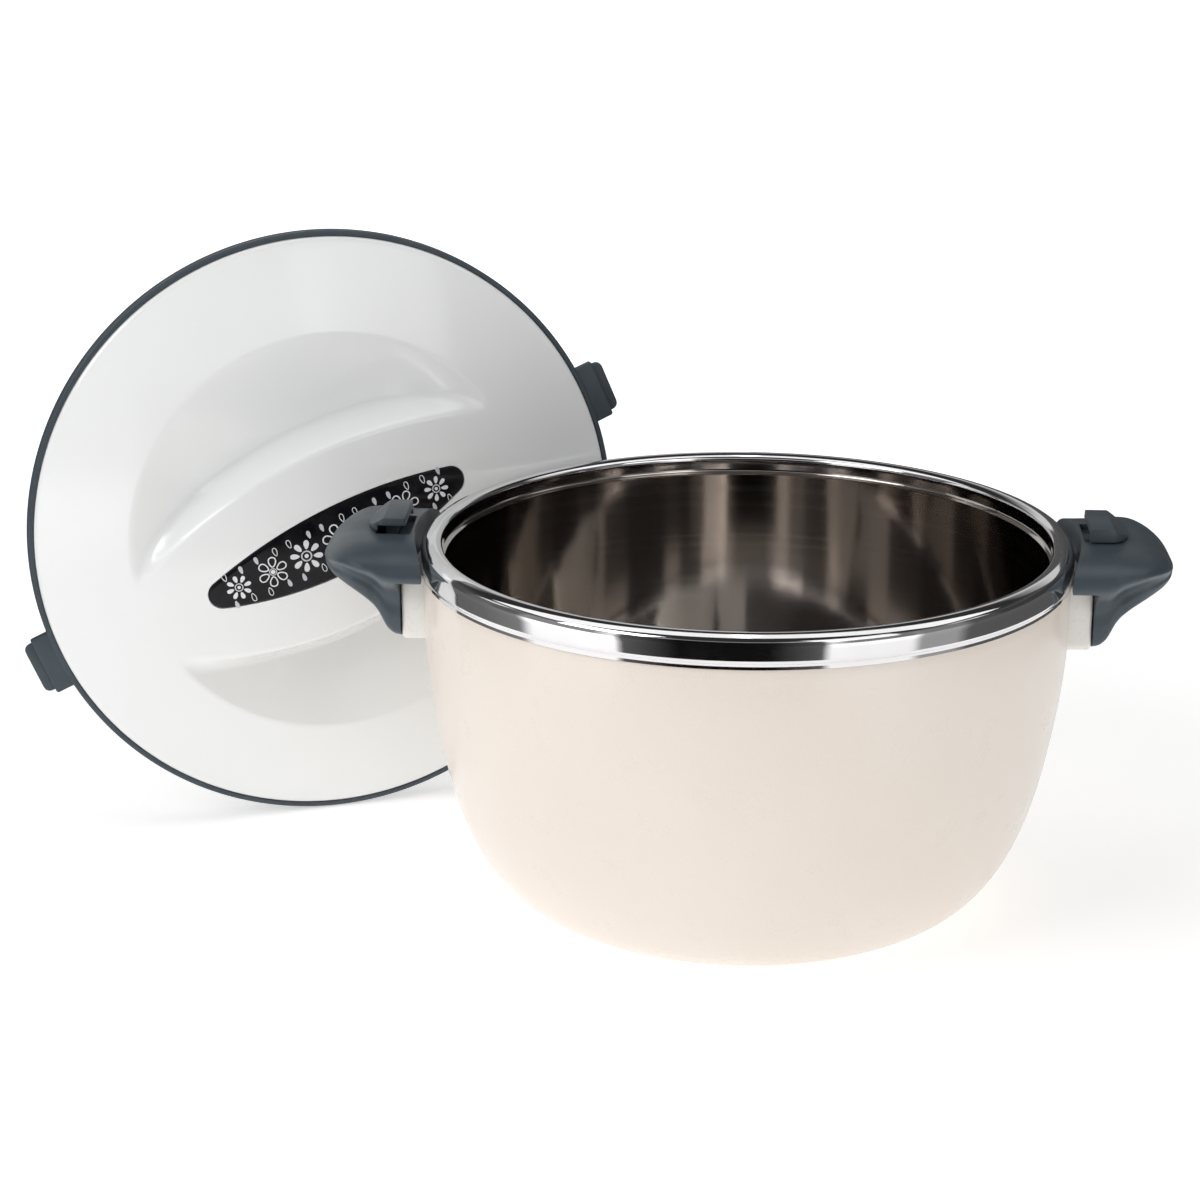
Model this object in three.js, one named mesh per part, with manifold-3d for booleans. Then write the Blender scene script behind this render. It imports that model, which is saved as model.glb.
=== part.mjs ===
// Insulated casserole (hot pot): a round foam-filled body with a polished steel
// liner and rim, two side handles with sliding latches, and a lift-off lid that
// stands on its edge behind and to the left of the body.
// Millimetres, +Z up, origin at the centre of the underside, handles along X.

import * as THREE from 'three';
import { mergeVertices } from 'three/addons/utils/BufferGeometryUtils.js';
import { ParametricGeometry } from 'three/addons/geometries/ParametricGeometry.js';
import Module from 'manifold-3d';

const wasm = await Module();
wasm.setup();

// ---------------------------------------------------------------- driving sizes
const RIM_RADIUS = 130; // outside of the polished rim
const RIM_TOP = 151; // height of the rim above the table
const RIM_FACE_BOTTOM = 140.4; // lower edge of the rim's upright face
const RIM_LIP_BOTTOM = 137.8; // lower edge of the thin lip under that face
const MOUTH_RADIUS = 121.3; // inside of the rim
const FOOT_RADIUS = 73; // edge of the flat underside
const SHELL_RADIUS = 128; // shell just under the rim
const SHELL_WALL = 2.5;
const LINER_WALL = 1.2;
const LINER_FLOOR = 17; // height of the liner's inside floor
const FIT = 0.4; // play between pieces that lie against each other
const ROUND_STEPS = 48; // facets around the large round pieces

const BRACKET_REACH = 136.5; // outer face of the pale handle bracket
const BRACKET_BOTTOM = 110.5;
const BRACKET_TOP = 139;
const BRACKET_HALF_WIDTH = 21.5;
const HANDLE_REACH = 169; // tip of the handle
const HANDLE_HALF_WIDTH = 40;
const HANDLE_NECK_HALF_WIDTH = 23.4;
const HANDLE_RIM_GAP = 2.3;
const HANDLE_TIP_HEIGHT = 142.4;

const LATCH_INNER = 135; // inner end of the latch when it is shut
const LATCH_LENGTH = 16;
const LATCH_HALF_WIDTH = 14;
const LATCH_TOP = 158.8;
const LATCH_TRAVEL = 6; // outwards, from shut to open

const LID_RADIUS = 127.6; // outside of the dark ring
const LID_RING_HEIGHT = 6.5;
const LID_COVER_RADIUS = 125.2;
const LID_EDGE_HEIGHT = 7; // top of the white cover at its edge
const LID_CROWN = 24; // rise of the cover from its edge to its middle
const LID_COVER_WALL = 2.2;
const LUG_REACH = 138.5;
const LUG_HALF_WIDTH = 13;
const LUG_BOTTOM = 2.4; // high enough to pass over the handle when the lid is on
const LUG_HEIGHT = 6;
const LUG_LEDGE_RADIUS = 134.6; // beyond this the lug is a thinner and narrower ledge
const LUG_LEDGE_HALF_WIDTH = 11.4;
const LUG_LEDGE_HEIGHT = 4.4;

// Where the lid stands: the middle of its underside, the way it faces and its turn.
const LID_STAND = { x: -182.5, y: 85.6, facing: 20, lean: 1.9, turn: 22.6 };

// ---------------------------------------------------------------- finishes
const finish = (color, roughness, metalness) => ({ color, roughness, metalness });
const CREAM = finish(0xf0e4d8, 0.32, 0.05);
const BRACKET_WHITE = finish(0xe9e4da, 0.35, 0);
const POLISHED = finish(0xd6d4d0, 0.08, 1);
const LINER_STEEL = finish(0xb9b4ac, 0.14, 1);
const SLATE = finish(0x46525a, 0.42, 0);
const GLOSS_WHITE = finish(0xeef1f2, 0.12, 0);
const GLOSS_BLACK = finish(0x0d0e10, 0.08, 0);
const SILICONE = finish(0x5c6468, 0.6, 0);
const FOAM = finish(0xe8dcb4, 0.95, 0);
const SPRING_STEEL = finish(0xa8a9a8, 0.3, 1);
const SCREW_STEEL = finish(0x9c9d9e, 0.35, 1);
const GREY_NYLON = finish(0x6c7276, 0.55, 0);

// ---------------------------------------------------------------- solid helpers
const degrees = THREE.MathUtils.degToRad;
const flat = (x, y) => new THREE.Vector2(x, y);

// Merges the corners of a closed geometry, drops slivers and faces it outwards.
function closedMesh(geometry) {
  const bare = geometry.clone();
  bare.deleteAttribute('normal');
  bare.deleteAttribute('uv');
  const merged = mergeVertices(bare, 1e-4);
  const corner = merged.attributes.position;
  const source = merged.index.array;
  const triangles = [];
  let volume = 0;
  const [a, b, c] = [new THREE.Vector3(), new THREE.Vector3(), new THREE.Vector3()];
  for (let i = 0; i < source.length; i += 3) {
    const [p, q, r] = [source[i], source[i + 1], source[i + 2]];
    if (p === q || q === r || r === p) continue;
    a.fromBufferAttribute(corner, p);
    b.fromBufferAttribute(corner, q);
    c.fromBufferAttribute(corner, r);
    volume += a.dot(b.cross(c));
    triangles.push(p, q, r);
  }
  if (volume < 0) triangles.reverse();
  return { vertProperties: new Float32Array(corner.array), triVerts: new Uint32Array(triangles) };
}

const solid = (geometry) => new wasm.Manifold(new wasm.Mesh({ numProp: 3, ...closedMesh(geometry) }));

function geometryOf(body) {
  const mesh = body.getMesh();
  const geometry = new THREE.BufferGeometry();
  geometry.setAttribute('position', new THREE.BufferAttribute(new Float32Array(mesh.vertProperties), 3));
  geometry.setIndex(new THREE.BufferAttribute(new Uint32Array(mesh.triVerts), 1));
  geometry.computeVertexNormals();
  return geometry;
}

// A round solid about +Z from a profile of [radius, height] points.
function turned(profile, steps = ROUND_STEPS) {
  const points = profile.map(([radius, height]) => flat(radius, height));
  const [first, last] = [points[0], points[points.length - 1]];
  const onAxis = first.x === 0 && last.x === 0;
  if (!onAxis) points.push(first.clone());
  return new THREE.LatheGeometry(points, steps).rotateX(Math.PI / 2);
}

const block = (x0, x1, y0, y1, z0, z1) =>
  new THREE.BoxGeometry(x1 - x0, y1 - y0, z1 - z0).translate((x0 + x1) / 2, (y0 + y1) / 2, (z0 + z1) / 2);

// A plan outline (in X and Y) raised from z0 to z1.
const raised = (shape, z0, z1, steps = 6) =>
  new THREE.ExtrudeGeometry(shape, { depth: z1 - z0, bevelEnabled: false, curveSegments: steps })
    .translate(0, 0, z0);

// A side outline (in X and Z) that is `2 * half` wide along Y.
const sideways = (shape, half, steps = 6) =>
  new THREE.ExtrudeGeometry(shape, { depth: 2 * half, bevelEnabled: false, curveSegments: steps })
    .rotateX(Math.PI / 2)
    .translate(0, half, 0);

const drum = (radius, z0, z1, steps = ROUND_STEPS) =>
  turned([[0, z0], [radius, z0], [radius, z1], [0, z1]], steps);

const alongX = (geometry) => geometry.rotateY(Math.PI / 2);

// Points of a quarter curve from (inner, low) out and up to (outer, high): the
// wall is upright at the top and the floor is level at the bottom.
function bowlCurve(inner, outer, low, high, roundness, steps) {
  const points = [];
  for (let i = 0; i <= steps; i += 1) {
    const t = (Math.PI / 2) * (1 - i / steps);
    const across = Math.cos(t) ** (2 / roundness);
    const down = Math.sin(t) ** (2 / roundness);
    points.push([inner + (outer - inner) * across, high - (high - low) * down]);
  }
  return points;
}

// A screw along +Z: its head from 0 up, its shank from 0 down.
function screw(headRadius, headHeight, shankRadius, shankLength) {
  return turned([
    [0, headHeight],
    [headRadius * 0.75, headHeight],
    [headRadius, headHeight * 0.5],
    [headRadius, 0],
    [shankRadius, 0],
    [shankRadius, -shankLength + shankRadius],
    [0, -shankLength],
  ], 8);
}

// ---------------------------------------------------------------- body
const SHELL_ROUNDNESS = 2.39;
const SHELL_TOP = 137.5; // visible upper edge, just under the rim's lip
const COLLAR_RADIUS = 127.6; // collar of the shell inside the rim ring
const COLLAR_TOP = 146;
const BASE_HOLE_RADIUS = 47;
const BASE_REBATE_RADIUS = 60.4;
const BASE_REBATE_DEPTH = 3;
const BASE_FLANGE_TOP = 6.5;
const BASE_COVER_RADIUS = BASE_REBATE_RADIUS - FIT;
const BASE_HUB_WALL = 2;
const BASE_SCREW_CIRCLE = 53.5;
const BASE_SCREWS = 3;
const BASE_SCREW_RADIUS = 1.5;
const BASE_SCREW_LENGTH = 5;
const BASE_SCREW_HEAD_RADIUS = 3.1;
const BASE_WELL_RADIUS = 3.6; // counterbore for a screw's head
const BASE_WELL_DEPTH = 1.5;

const HANDLE_SCREW_HEIGHT = 126;
const HANDLE_SCREW_SPREAD = 16;
const HANDLE_SCREW_SEAT = 123.4; // inner side of the shell wall at the screws
const HANDLE_SCREW_LENGTH = 22;
const HANDLE_SCREW_RADIUS = 2;
const HANDLE_SCREW_HEAD_RADIUS = 3.6;
const HANDLE_SCREW_HEAD_HEIGHT = 1.6;

const SHELL_INSIDE_STEPS = 7;
const shellOutside = bowlCurve(FOOT_RADIUS, SHELL_RADIUS, 0, SHELL_TOP, SHELL_ROUNDNESS, 10);
const shellInside = bowlCurve(
  FOOT_RADIUS, SHELL_RADIUS - SHELL_WALL, BASE_FLANGE_TOP, SHELL_TOP, SHELL_ROUNDNESS, SHELL_INSIDE_STEPS);

function baseScrewPlaces() {
  return Array.from({ length: BASE_SCREWS }, (_, i) => {
    const angle = degrees(90 + (360 / BASE_SCREWS) * i);
    return [BASE_SCREW_CIRCLE * Math.cos(angle), BASE_SCREW_CIRCLE * Math.sin(angle)];
  });
}

// Holes or clearances for the four handle screws, as one solid.
function handleScrewRods(radius, from, to) {
  const rods = [];
  for (const side of [-1, 1]) {
    for (const across of [-HANDLE_SCREW_SPREAD, HANDLE_SCREW_SPREAD]) {
      rods.push(solid(alongX(drum(radius, from, to, 12))
        .rotateZ(side > 0 ? 0 : Math.PI)
        .translate(0, across, HANDLE_SCREW_HEIGHT)));
    }
  }
  return rods.reduce((all, rod) => all.add(rod));
}

function outerShell() {
  const profile = [
    [BASE_REBATE_RADIUS, 0],
    ...shellOutside,
    [COLLAR_RADIUS, SHELL_TOP],
    [COLLAR_RADIUS, COLLAR_TOP],
    [SHELL_RADIUS - SHELL_WALL, COLLAR_TOP],
    ...shellInside.toReversed(),
    [BASE_HOLE_RADIUS, BASE_FLANGE_TOP],
    [BASE_HOLE_RADIUS, BASE_REBATE_DEPTH],
    [BASE_REBATE_RADIUS, BASE_REBATE_DEPTH],
  ];
  let body = solid(turned(profile));
  for (const [x, y] of baseScrewPlaces()) {
    const hole = drum(BASE_SCREW_RADIUS + FIT, BASE_REBATE_DEPTH - 1, BASE_FLANGE_TOP + 1, 12);
    body = body.subtract(solid(hole.translate(x, y, 0)));
  }
  const wallHoles = handleScrewRods(HANDLE_SCREW_RADIUS + FIT, HANDLE_SCREW_SEAT - 6, BRACKET_REACH);
  return body.subtract(wallHoles);
}

function baseCover() {
  const coverTop = BASE_REBATE_DEPTH - FIT;
  const hubRadius = BASE_HOLE_RADIUS - FIT;
  const hubTop = BASE_FLANGE_TOP - 1;
  const chamfer = 0.6;
  let body = solid(turned([
    [0, 0],
    [BASE_COVER_RADIUS - chamfer, 0],
    [BASE_COVER_RADIUS, chamfer],
    [BASE_COVER_RADIUS, coverTop],
    [hubRadius, coverTop],
    [hubRadius, hubTop],
    [hubRadius - BASE_HUB_WALL, hubTop],
    [hubRadius - BASE_HUB_WALL, coverTop],
    [0, coverTop],
  ]));
  for (const [x, y] of baseScrewPlaces()) {
    const well = drum(BASE_WELL_RADIUS, -1, BASE_WELL_DEPTH, 12);
    const hole = drum(BASE_SCREW_RADIUS + FIT, BASE_WELL_DEPTH - 0.5, BASE_REBATE_DEPTH, 12);
    body = body.subtract(solid(well.translate(x, y, 0))).subtract(solid(hole.translate(x, y, 0)));
  }
  return body;
}

const baseScrew = () =>
  screw(BASE_SCREW_HEAD_RADIUS, 1, BASE_SCREW_RADIUS, BASE_SCREW_LENGTH).rotateX(Math.PI);

// The liner is a drawn steel bowl that hangs by a flange under the rim ring.
const LINER_ROUNDNESS = 2.55;
const LINER_FLOOR_RADIUS = 66;
const LINER_RADIUS = 120.6;
const LINER_STEP = 142; // the bowl steps out here to pass behind the rim ring
const LINER_NECK_RADIUS = 122.8;
const LINER_FLANGE_RADIUS = 126.6;
const LINER_TOP = 148.2;
const LINER_STEPS = 8;

function linerBowl() {
  const inside = bowlCurve(
    LINER_FLOOR_RADIUS, LINER_RADIUS, LINER_FLOOR, LINER_STEP, LINER_ROUNDNESS, LINER_STEPS);
  const outside = bowlCurve(LINER_FLOOR_RADIUS, LINER_RADIUS + LINER_WALL, LINER_FLOOR - LINER_WALL,
    LINER_STEP, LINER_ROUNDNESS, LINER_STEPS);
  return turned([
    [0, LINER_FLOOR],
    ...inside,
    [LINER_NECK_RADIUS, LINER_STEP + LINER_WALL],
    [LINER_NECK_RADIUS, LINER_TOP],
    [LINER_FLANGE_RADIUS, LINER_TOP],
    [LINER_FLANGE_RADIUS, LINER_TOP - LINER_WALL],
    [LINER_NECK_RADIUS + LINER_WALL, LINER_TOP - LINER_WALL],
    [LINER_NECK_RADIUS + LINER_WALL, LINER_STEP],
    ...outside.toReversed(),
    [0, LINER_FLOOR - LINER_WALL],
  ]);
}

// The rim ring is a rolled channel: an upright face with a lip below, a rounded
// shoulder, a crest and a short skirt that laps over the top of the liner.
function rimRing() {
  const skirtBottom = 144.4;
  const crest = RIM_RADIUS - 4.6;
  const steel = 1.1;
  return turned([
    [RIM_RADIUS - 0.8, RIM_LIP_BOTTOM],
    [RIM_RADIUS - 0.8, RIM_FACE_BOTTOM - 0.6],
    [RIM_RADIUS, RIM_FACE_BOTTOM],
    [RIM_RADIUS, RIM_TOP - 3.8],
    [RIM_RADIUS - 0.8, RIM_TOP - 1.7],
    [RIM_RADIUS - 2.3, RIM_TOP - 0.5],
    [crest, RIM_TOP],
    [crest - 2, RIM_TOP - 0.4],
    [MOUTH_RADIUS + 0.7, RIM_TOP - 1.4],
    [MOUTH_RADIUS, RIM_TOP - 3],
    [MOUTH_RADIUS, skirtBottom],
    [MOUTH_RADIUS + steel, skirtBottom],
    [MOUTH_RADIUS + steel, RIM_TOP - 2.3],
    [crest, RIM_TOP - steel - 0.6],
    [RIM_RADIUS - 2.4, RIM_TOP - steel - 1.2],
    [RIM_RADIUS - 1.2, RIM_TOP - 4.2],
    [RIM_RADIUS - 1.2, RIM_FACE_BOTTOM + 0.5],
    [RIM_RADIUS - 1.9, RIM_FACE_BOTTOM - 0.2],
    [RIM_RADIUS - 1.9, RIM_LIP_BOTTOM],
  ]);
}

// Foam fills the room between shell and liner. Its curves have as many steps as
// theirs, so that the facets keep the same distance all the way.
function bodyInsulation() {
  const top = 134;
  const gap = 2 * FIT;
  const belowTop = ([, height]) => height < top;
  const outside = bowlCurve(FOOT_RADIUS, SHELL_RADIUS - SHELL_WALL - gap, BASE_FLANGE_TOP + gap,
    SHELL_TOP, SHELL_ROUNDNESS, SHELL_INSIDE_STEPS).filter(belowTop);
  const inside = bowlCurve(LINER_FLOOR_RADIUS, LINER_RADIUS + LINER_WALL + gap,
    LINER_FLOOR - LINER_WALL - gap, LINER_STEP, LINER_ROUNDNESS, LINER_STEPS).filter(belowTop);
  const profile = [
    [0, BASE_FLANGE_TOP + gap],
    ...outside,
    [outside.at(-1)[0], top],
    [inside.at(-1)[0], top],
    ...inside.toReversed(),
    [0, LINER_FLOOR - LINER_WALL - gap],
  ];
  const headRoom = handleScrewRods(
    HANDLE_SCREW_HEAD_RADIUS + 1, HANDLE_SCREW_SEAT - HANDLE_SCREW_HEAD_HEIGHT - 1.4, BRACKET_REACH);
  return solid(turned(profile)).subtract(headRoom);
}

// ---------------------------------------------------------------- handles (built on +X)
const HANDLE_SPLIT = BRACKET_TOP + FIT; // below this the handle ends at the bracket
const HANDLE_FACE = BRACKET_REACH + FIT;
const SLOT_INNER = 138.6; // slot in the handle's top for the latch stem
const SLOT_HALF_WIDTH = 6.4;
const STEM_LENGTH = 5;
const MECHANISM_FLOOR = 133;
const MECHANISM_ROOF = 147;
const SCREW_ROOM = { inner: HANDLE_FACE - 1, outer: 144.5, half: 12, floor: 123 };
const SPRING_ROOM = { inner: 137.6, outer: 152.5, half: 11 };
const POCKET = { inner: 133.4, outer: 147.2, front: -11.4, back: 14.7, floor: 150.2 }; // under the latch

// Height of the handle's top and underside above the table, from rim to tip.
const handleTop = new THREE.SplineCurve([
  flat(120, 152.6), flat(133, 152.8), flat(142, 153), flat(150, 152.8), flat(156, 152.2),
  flat(162, 149.8), flat(166.5, 146.5), flat(HANDLE_REACH, HANDLE_TIP_HEIGHT),
]);
const handleUnderside = new THREE.SplineCurve([
  flat(120, 111), flat(136, 110.6), flat(142, 113.3), flat(146, 121), flat(151, 127.2),
  flat(158, 133), flat(164.5, 137.1), flat(168, 139.4), flat(HANDLE_REACH, HANDLE_TIP_HEIGHT),
]);

function heightAt(curve, x) {
  let [low, high] = [0, 1];
  for (let i = 0; i < 24; i += 1) {
    const middle = (low + high) / 2;
    if (curve.getPoint(middle).x < x) low = middle;
    else high = middle;
  }
  return curve.getPoint(low).y;
}

// One section across the handle: a broad crowned top over a narrower neck.
function handleSection(x) {
  const top = heightAt(handleTop, x);
  const drop = top - heightAt(handleUnderside, x);
  const roundStart = 147.6; // from here out the handle narrows to its tip
  const past = THREE.MathUtils.clamp((x - roundStart) / (HANDLE_REACH - roundStart), 0, 1);
  const width = HANDLE_HALF_WIDTH * Math.sqrt(1 - past ** 2);
  const neckShare = THREE.MathUtils.lerp(HANDLE_NECK_HALF_WIDTH / HANDLE_HALF_WIDTH, 0.89, past);
  const neck = width * neckShare;
  return new THREE.SplineCurve([
    flat(0, top),
    flat(0.42 * width, top - 0.008 * drop),
    flat(0.72 * width, top - 0.045 * drop),
    flat(0.92 * width, top - 0.13 * drop),
    flat(width, top - 0.26 * drop),
    flat(THREE.MathUtils.lerp(neck, width, 0.72), top - 0.38 * drop),
    flat(THREE.MathUtils.lerp(neck, width, 0.25), top - 0.5 * drop),
    flat(neck, top - 0.62 * drop),
    flat(0.97 * neck, top - 0.8 * drop),
    flat(0.86 * neck, top - 0.97 * drop),
    flat(0, top - drop),
  ]);
}

function handleBlank() {
  const stations = [126, 133, 140, 146, 150, 154, 158, 161.5, 164.5, 167, 168.5];
  const sections = stations.map(handleSection);
  const around = 36;
  const slices = stations.length + 1;
  return new ParametricGeometry((u, v, target) => {
    const row = Math.round(u * slices);
    const last = row === slices;
    if (row === 0 || last) {
      const x = last ? HANDLE_REACH : stations[0];
      target.set(x, 0, last ? HANDLE_TIP_HEIGHT : (BRACKET_BOTTOM + RIM_TOP) / 2);
      return;
    }
    const turn = 2 * (v <= 0.5 ? v : 1 - v);
    const point = sections[row - 1].getPoint(turn);
    target.set(stations[row - 1], v <= 0.5 ? point.x : -point.x, point.y);
  }, slices, around);
}

// The handle is cut clear of the rim and the bracket, and holds the latch's works.
function handleGrip() {
  const above = LATCH_TOP + 1;
  const slotOuter = SLOT_INNER + STEM_LENGTH + LATCH_TRAVEL + 2 * FIT;
  const cutters = [
    drum(RIM_RADIUS + HANDLE_RIM_GAP, HANDLE_SPLIT - 0.1, above, 96),
    block(0, HANDLE_FACE, -HANDLE_REACH, HANDLE_REACH, 0, HANDLE_SPLIT),
    block(SCREW_ROOM.inner, SCREW_ROOM.outer, -SCREW_ROOM.half, SCREW_ROOM.half,
      SCREW_ROOM.floor, MECHANISM_FLOOR + 1),
    block(SPRING_ROOM.inner, SPRING_ROOM.outer, -SPRING_ROOM.half, SPRING_ROOM.half,
      MECHANISM_FLOOR, MECHANISM_ROOF),
    block(SLOT_INNER, slotOuter, -SLOT_HALF_WIDTH, SLOT_HALF_WIDTH, MECHANISM_ROOF - 1, above),
    block(POCKET.inner, POCKET.outer, POCKET.front, POCKET.back, POCKET.floor, above),
  ];
  const screwHoles = handleScrewRods(HANDLE_SCREW_RADIUS + FIT, BRACKET_REACH - 1,
    HANDLE_SCREW_SEAT + HANDLE_SCREW_LENGTH + 1);
  return cutters.reduce((grip, cutter) => grip.subtract(solid(cutter)), solid(handleBlank()))
    .subtract(screwHoles);
}

// The bracket is a chamfered block whose back follows the shell.
function handleBracket() {
  const chamfer = 2.4;
  const face = new THREE.Shape([
    flat(-BRACKET_HALF_WIDTH + chamfer, BRACKET_BOTTOM),
    flat(BRACKET_HALF_WIDTH - chamfer, BRACKET_BOTTOM),
    flat(BRACKET_HALF_WIDTH, BRACKET_BOTTOM + chamfer),
    flat(BRACKET_HALF_WIDTH, BRACKET_TOP - chamfer),
    flat(BRACKET_HALF_WIDTH - chamfer, BRACKET_TOP),
    flat(-BRACKET_HALF_WIDTH + chamfer, BRACKET_TOP),
    flat(-BRACKET_HALF_WIDTH, BRACKET_TOP - chamfer),
    flat(-BRACKET_HALF_WIDTH, BRACKET_BOTTOM + chamfer),
  ]);
  const depth = BRACKET_REACH - SHELL_RADIUS + 16;
  const blank = new THREE.ExtrudeGeometry(face, { depth, bevelEnabled: false })
    .rotateX(Math.PI / 2)
    .rotateZ(Math.PI / 2)
    .translate(BRACKET_REACH - depth, 0, 0);
  const grown = shellOutside.map(([radius, height]) => [radius + FIT, height]);
  const shellSpace = turned([[0, 0], ...grown, [SHELL_RADIUS + FIT, RIM_TOP], [0, RIM_TOP]]);
  const rimSpace = drum(RIM_RADIUS + FIT, RIM_LIP_BOTTOM - FIT, RIM_TOP, 96);
  return solid(blank)
    .subtract(solid(shellSpace))
    .subtract(solid(rimSpace))
    .subtract(handleScrewRods(HANDLE_SCREW_RADIUS + FIT, BRACKET_REACH - depth - 1, BRACKET_REACH + 1));
}

const handleScrew = () => screw(
  HANDLE_SCREW_HEAD_RADIUS, HANDLE_SCREW_HEAD_HEIGHT, HANDLE_SCREW_RADIUS, HANDLE_SCREW_LENGTH)
  .rotateY(-Math.PI / 2);

// ---------------------------------------------------------------- latches (built on +X, shut)
const LATCH_OUTER = LATCH_INNER + LATCH_LENGTH;
const LATCH_SLOPE = 7; // the top falls away over this length to the outer end
const LATCH_UNDERSIDE = 153.4;
const LATCH_LIP = 0.9; // height of the outer end under the slope
const LATCH_FOOT = 4.5; // the outer end is solid over this length
const LATCH_FRONT_WALL = 2;
const HOOK_UNDERSIDE = RIM_TOP + LUG_LEDGE_HEIGHT + FIT; // just over the lid's lug
const STEM_BOTTOM = 145.6;
const STEM_INNER = SLOT_INNER + FIT;
const STEM_MIDDLE = STEM_INNER + STEM_LENGTH / 2;
const RETAINER_TOP = STEM_BOTTOM - FIT;
const RETAINER_THICKNESS = 2;
const RETAINER_HALF_WIDTH = 9;
const RETAINER_SCREW_RADIUS = 1.1;
const RETAINER_SCREW_HEAD = 1.2;
const RETAINER_SCREW_LENGTH = 5.6;

// A cap on a stem. It is open underneath on one side, where the lid's lug comes in.
function latchSlider() {
  const side = new THREE.Shape([
    flat(LATCH_INNER, LATCH_UNDERSIDE),
    flat(LATCH_OUTER, LATCH_UNDERSIDE),
    flat(LATCH_OUTER, LATCH_UNDERSIDE + LATCH_LIP),
    flat(LATCH_OUTER - LATCH_SLOPE, LATCH_TOP),
    flat(LATCH_INNER + 0.6, LATCH_TOP),
    flat(LATCH_INNER, LATCH_TOP - 0.6),
  ]);
  const plan = new THREE.Shape();
  plan.moveTo(LATCH_INNER - 1, -LATCH_HALF_WIDTH);
  plan.lineTo(LATCH_OUTER - LATCH_SLOPE, -LATCH_HALF_WIDTH);
  plan.absellipse(
    LATCH_OUTER - LATCH_SLOPE, 0, LATCH_SLOPE, LATCH_HALF_WIDTH, -Math.PI / 2, Math.PI / 2, false, 0);
  plan.lineTo(LATCH_INNER - 1, LATCH_HALF_WIDTH);
  const hollow = block(LATCH_INNER - 1, LATCH_OUTER - LATCH_FOOT, -LATCH_HALF_WIDTH + LATCH_FRONT_WALL,
    LATCH_HALF_WIDTH + 1, LATCH_UNDERSIDE - 1, HOOK_UNDERSIDE);
  const stemHalf = SLOT_HALF_WIDTH - FIT;
  const stem = block(
    STEM_INNER, STEM_INNER + STEM_LENGTH, -stemHalf, stemHalf, STEM_BOTTOM, HOOK_UNDERSIDE + 1);
  const pilotTop = RETAINER_TOP + RETAINER_SCREW_LENGTH;
  const pilot = drum(RETAINER_SCREW_RADIUS + FIT, STEM_BOTTOM - 1, pilotTop, 10).translate(STEM_MIDDLE, 0, 0);
  return solid(sideways(side, LATCH_HALF_WIDTH + 1))
    .intersect(solid(raised(plan, LATCH_UNDERSIDE - 1, LATCH_TOP + 1)))
    .subtract(solid(hollow))
    .add(solid(stem))
    .subtract(solid(pilot));
}

// A plate screwed to the foot of the stem, wider than the slot, keeps the latch in.
function latchRetainer() {
  const plate = block(STEM_INNER, STEM_INNER + STEM_LENGTH, -RETAINER_HALF_WIDTH, RETAINER_HALF_WIDTH,
    RETAINER_TOP - RETAINER_THICKNESS, RETAINER_TOP);
  const hole = drum(RETAINER_SCREW_RADIUS + FIT, RETAINER_TOP - RETAINER_THICKNESS - 1, RETAINER_TOP + 1, 10);
  return solid(plate).subtract(solid(hole.translate(STEM_MIDDLE, 0, 0)));
}

const retainerScrew = () =>
  screw(2, RETAINER_SCREW_HEAD, RETAINER_SCREW_RADIUS, RETAINER_SCREW_LENGTH).rotateX(Math.PI);

// A bent strip under the retainer whose two humps hold the latch shut or open.
function detentSpring() {
  const strip = 0.5;
  const bottom = MECHANISM_FLOOR + FIT;
  const crest = RETAINER_TOP - RETAINER_THICKNESS - RETAINER_SCREW_HEAD - FIT;
  const start = SPRING_ROOM.inner + 0.6;
  const end = SPRING_ROOM.outer - 0.7;
  const humps = 2;
  const steps = 16;
  const height = (i) => bottom + strip
    + (crest - strip - bottom) * Math.sin((Math.PI * humps * i) / steps) ** 2;
  const place = (i) => start + ((end - start) * i) / steps;
  const upper = Array.from({ length: steps + 1 }, (_, i) => flat(place(i), height(i)));
  const lower = upper.map((point) => flat(point.x, point.y - strip)).toReversed();
  return sideways(new THREE.Shape([...upper, ...lower]), 3);
}

// ---------------------------------------------------------------- lid (underside at z = 0)
const RIDGE_HALF_WIDTH = 37.4; // grip ridge across the cover, half its width at the middle
const RIDGE_EDGE_RADIUS = 181; // plan radius of the ridge's two edges
const SCOOP_RADIUS = 86; // finger scoops reach out to here
const SCOOP_DEPTH = 20;
const SCOOP_WALL = 10; // plan width of the ridge's flank
const SCOOP_FULL_SPAN = 35;
const INLAY_HALF_LENGTH = 60;
const INLAY_HALF_WIDTH = 14.5;
const INLAY_END_RADIUS = 6;
const INLAY_THICKNESS = 1;

const domeRadius = (LID_COVER_RADIUS ** 2 + LID_CROWN ** 2) / (2 * LID_CROWN);
const domeHeight = (radius) =>
  LID_EDGE_HEIGHT + LID_CROWN - (domeRadius - Math.sqrt(domeRadius ** 2 - radius ** 2));

// Depth of the finger scoops below the dome at a point of the lid's plan.
function scoopDepth(x, y) {
  const ridgeEdge = Math.sqrt(RIDGE_EDGE_RADIUS ** 2 - Math.min(x ** 2, SCOOP_RADIUS ** 2))
    - RIDGE_EDGE_RADIUS + RIDGE_HALF_WIDTH;
  const fromRidge = Math.abs(y) - ridgeEdge;
  const fromRound = SCOOP_RADIUS - Math.hypot(x, y);
  if (fromRidge <= 0 || fromRound <= 0) return 0;
  const span = fromRidge + fromRound;
  const flank = THREE.MathUtils.smoothstep(fromRidge, 0, SCOOP_WALL);
  return SCOOP_DEPTH * flank * (fromRound / span) * Math.min(1, span / SCOOP_FULL_SPAN);
}

const coverRings = [16, 30, 40, 48, 56, 64, 72, 80, SCOOP_RADIUS, 104];
const COVER_STEPS = 72;

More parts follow.
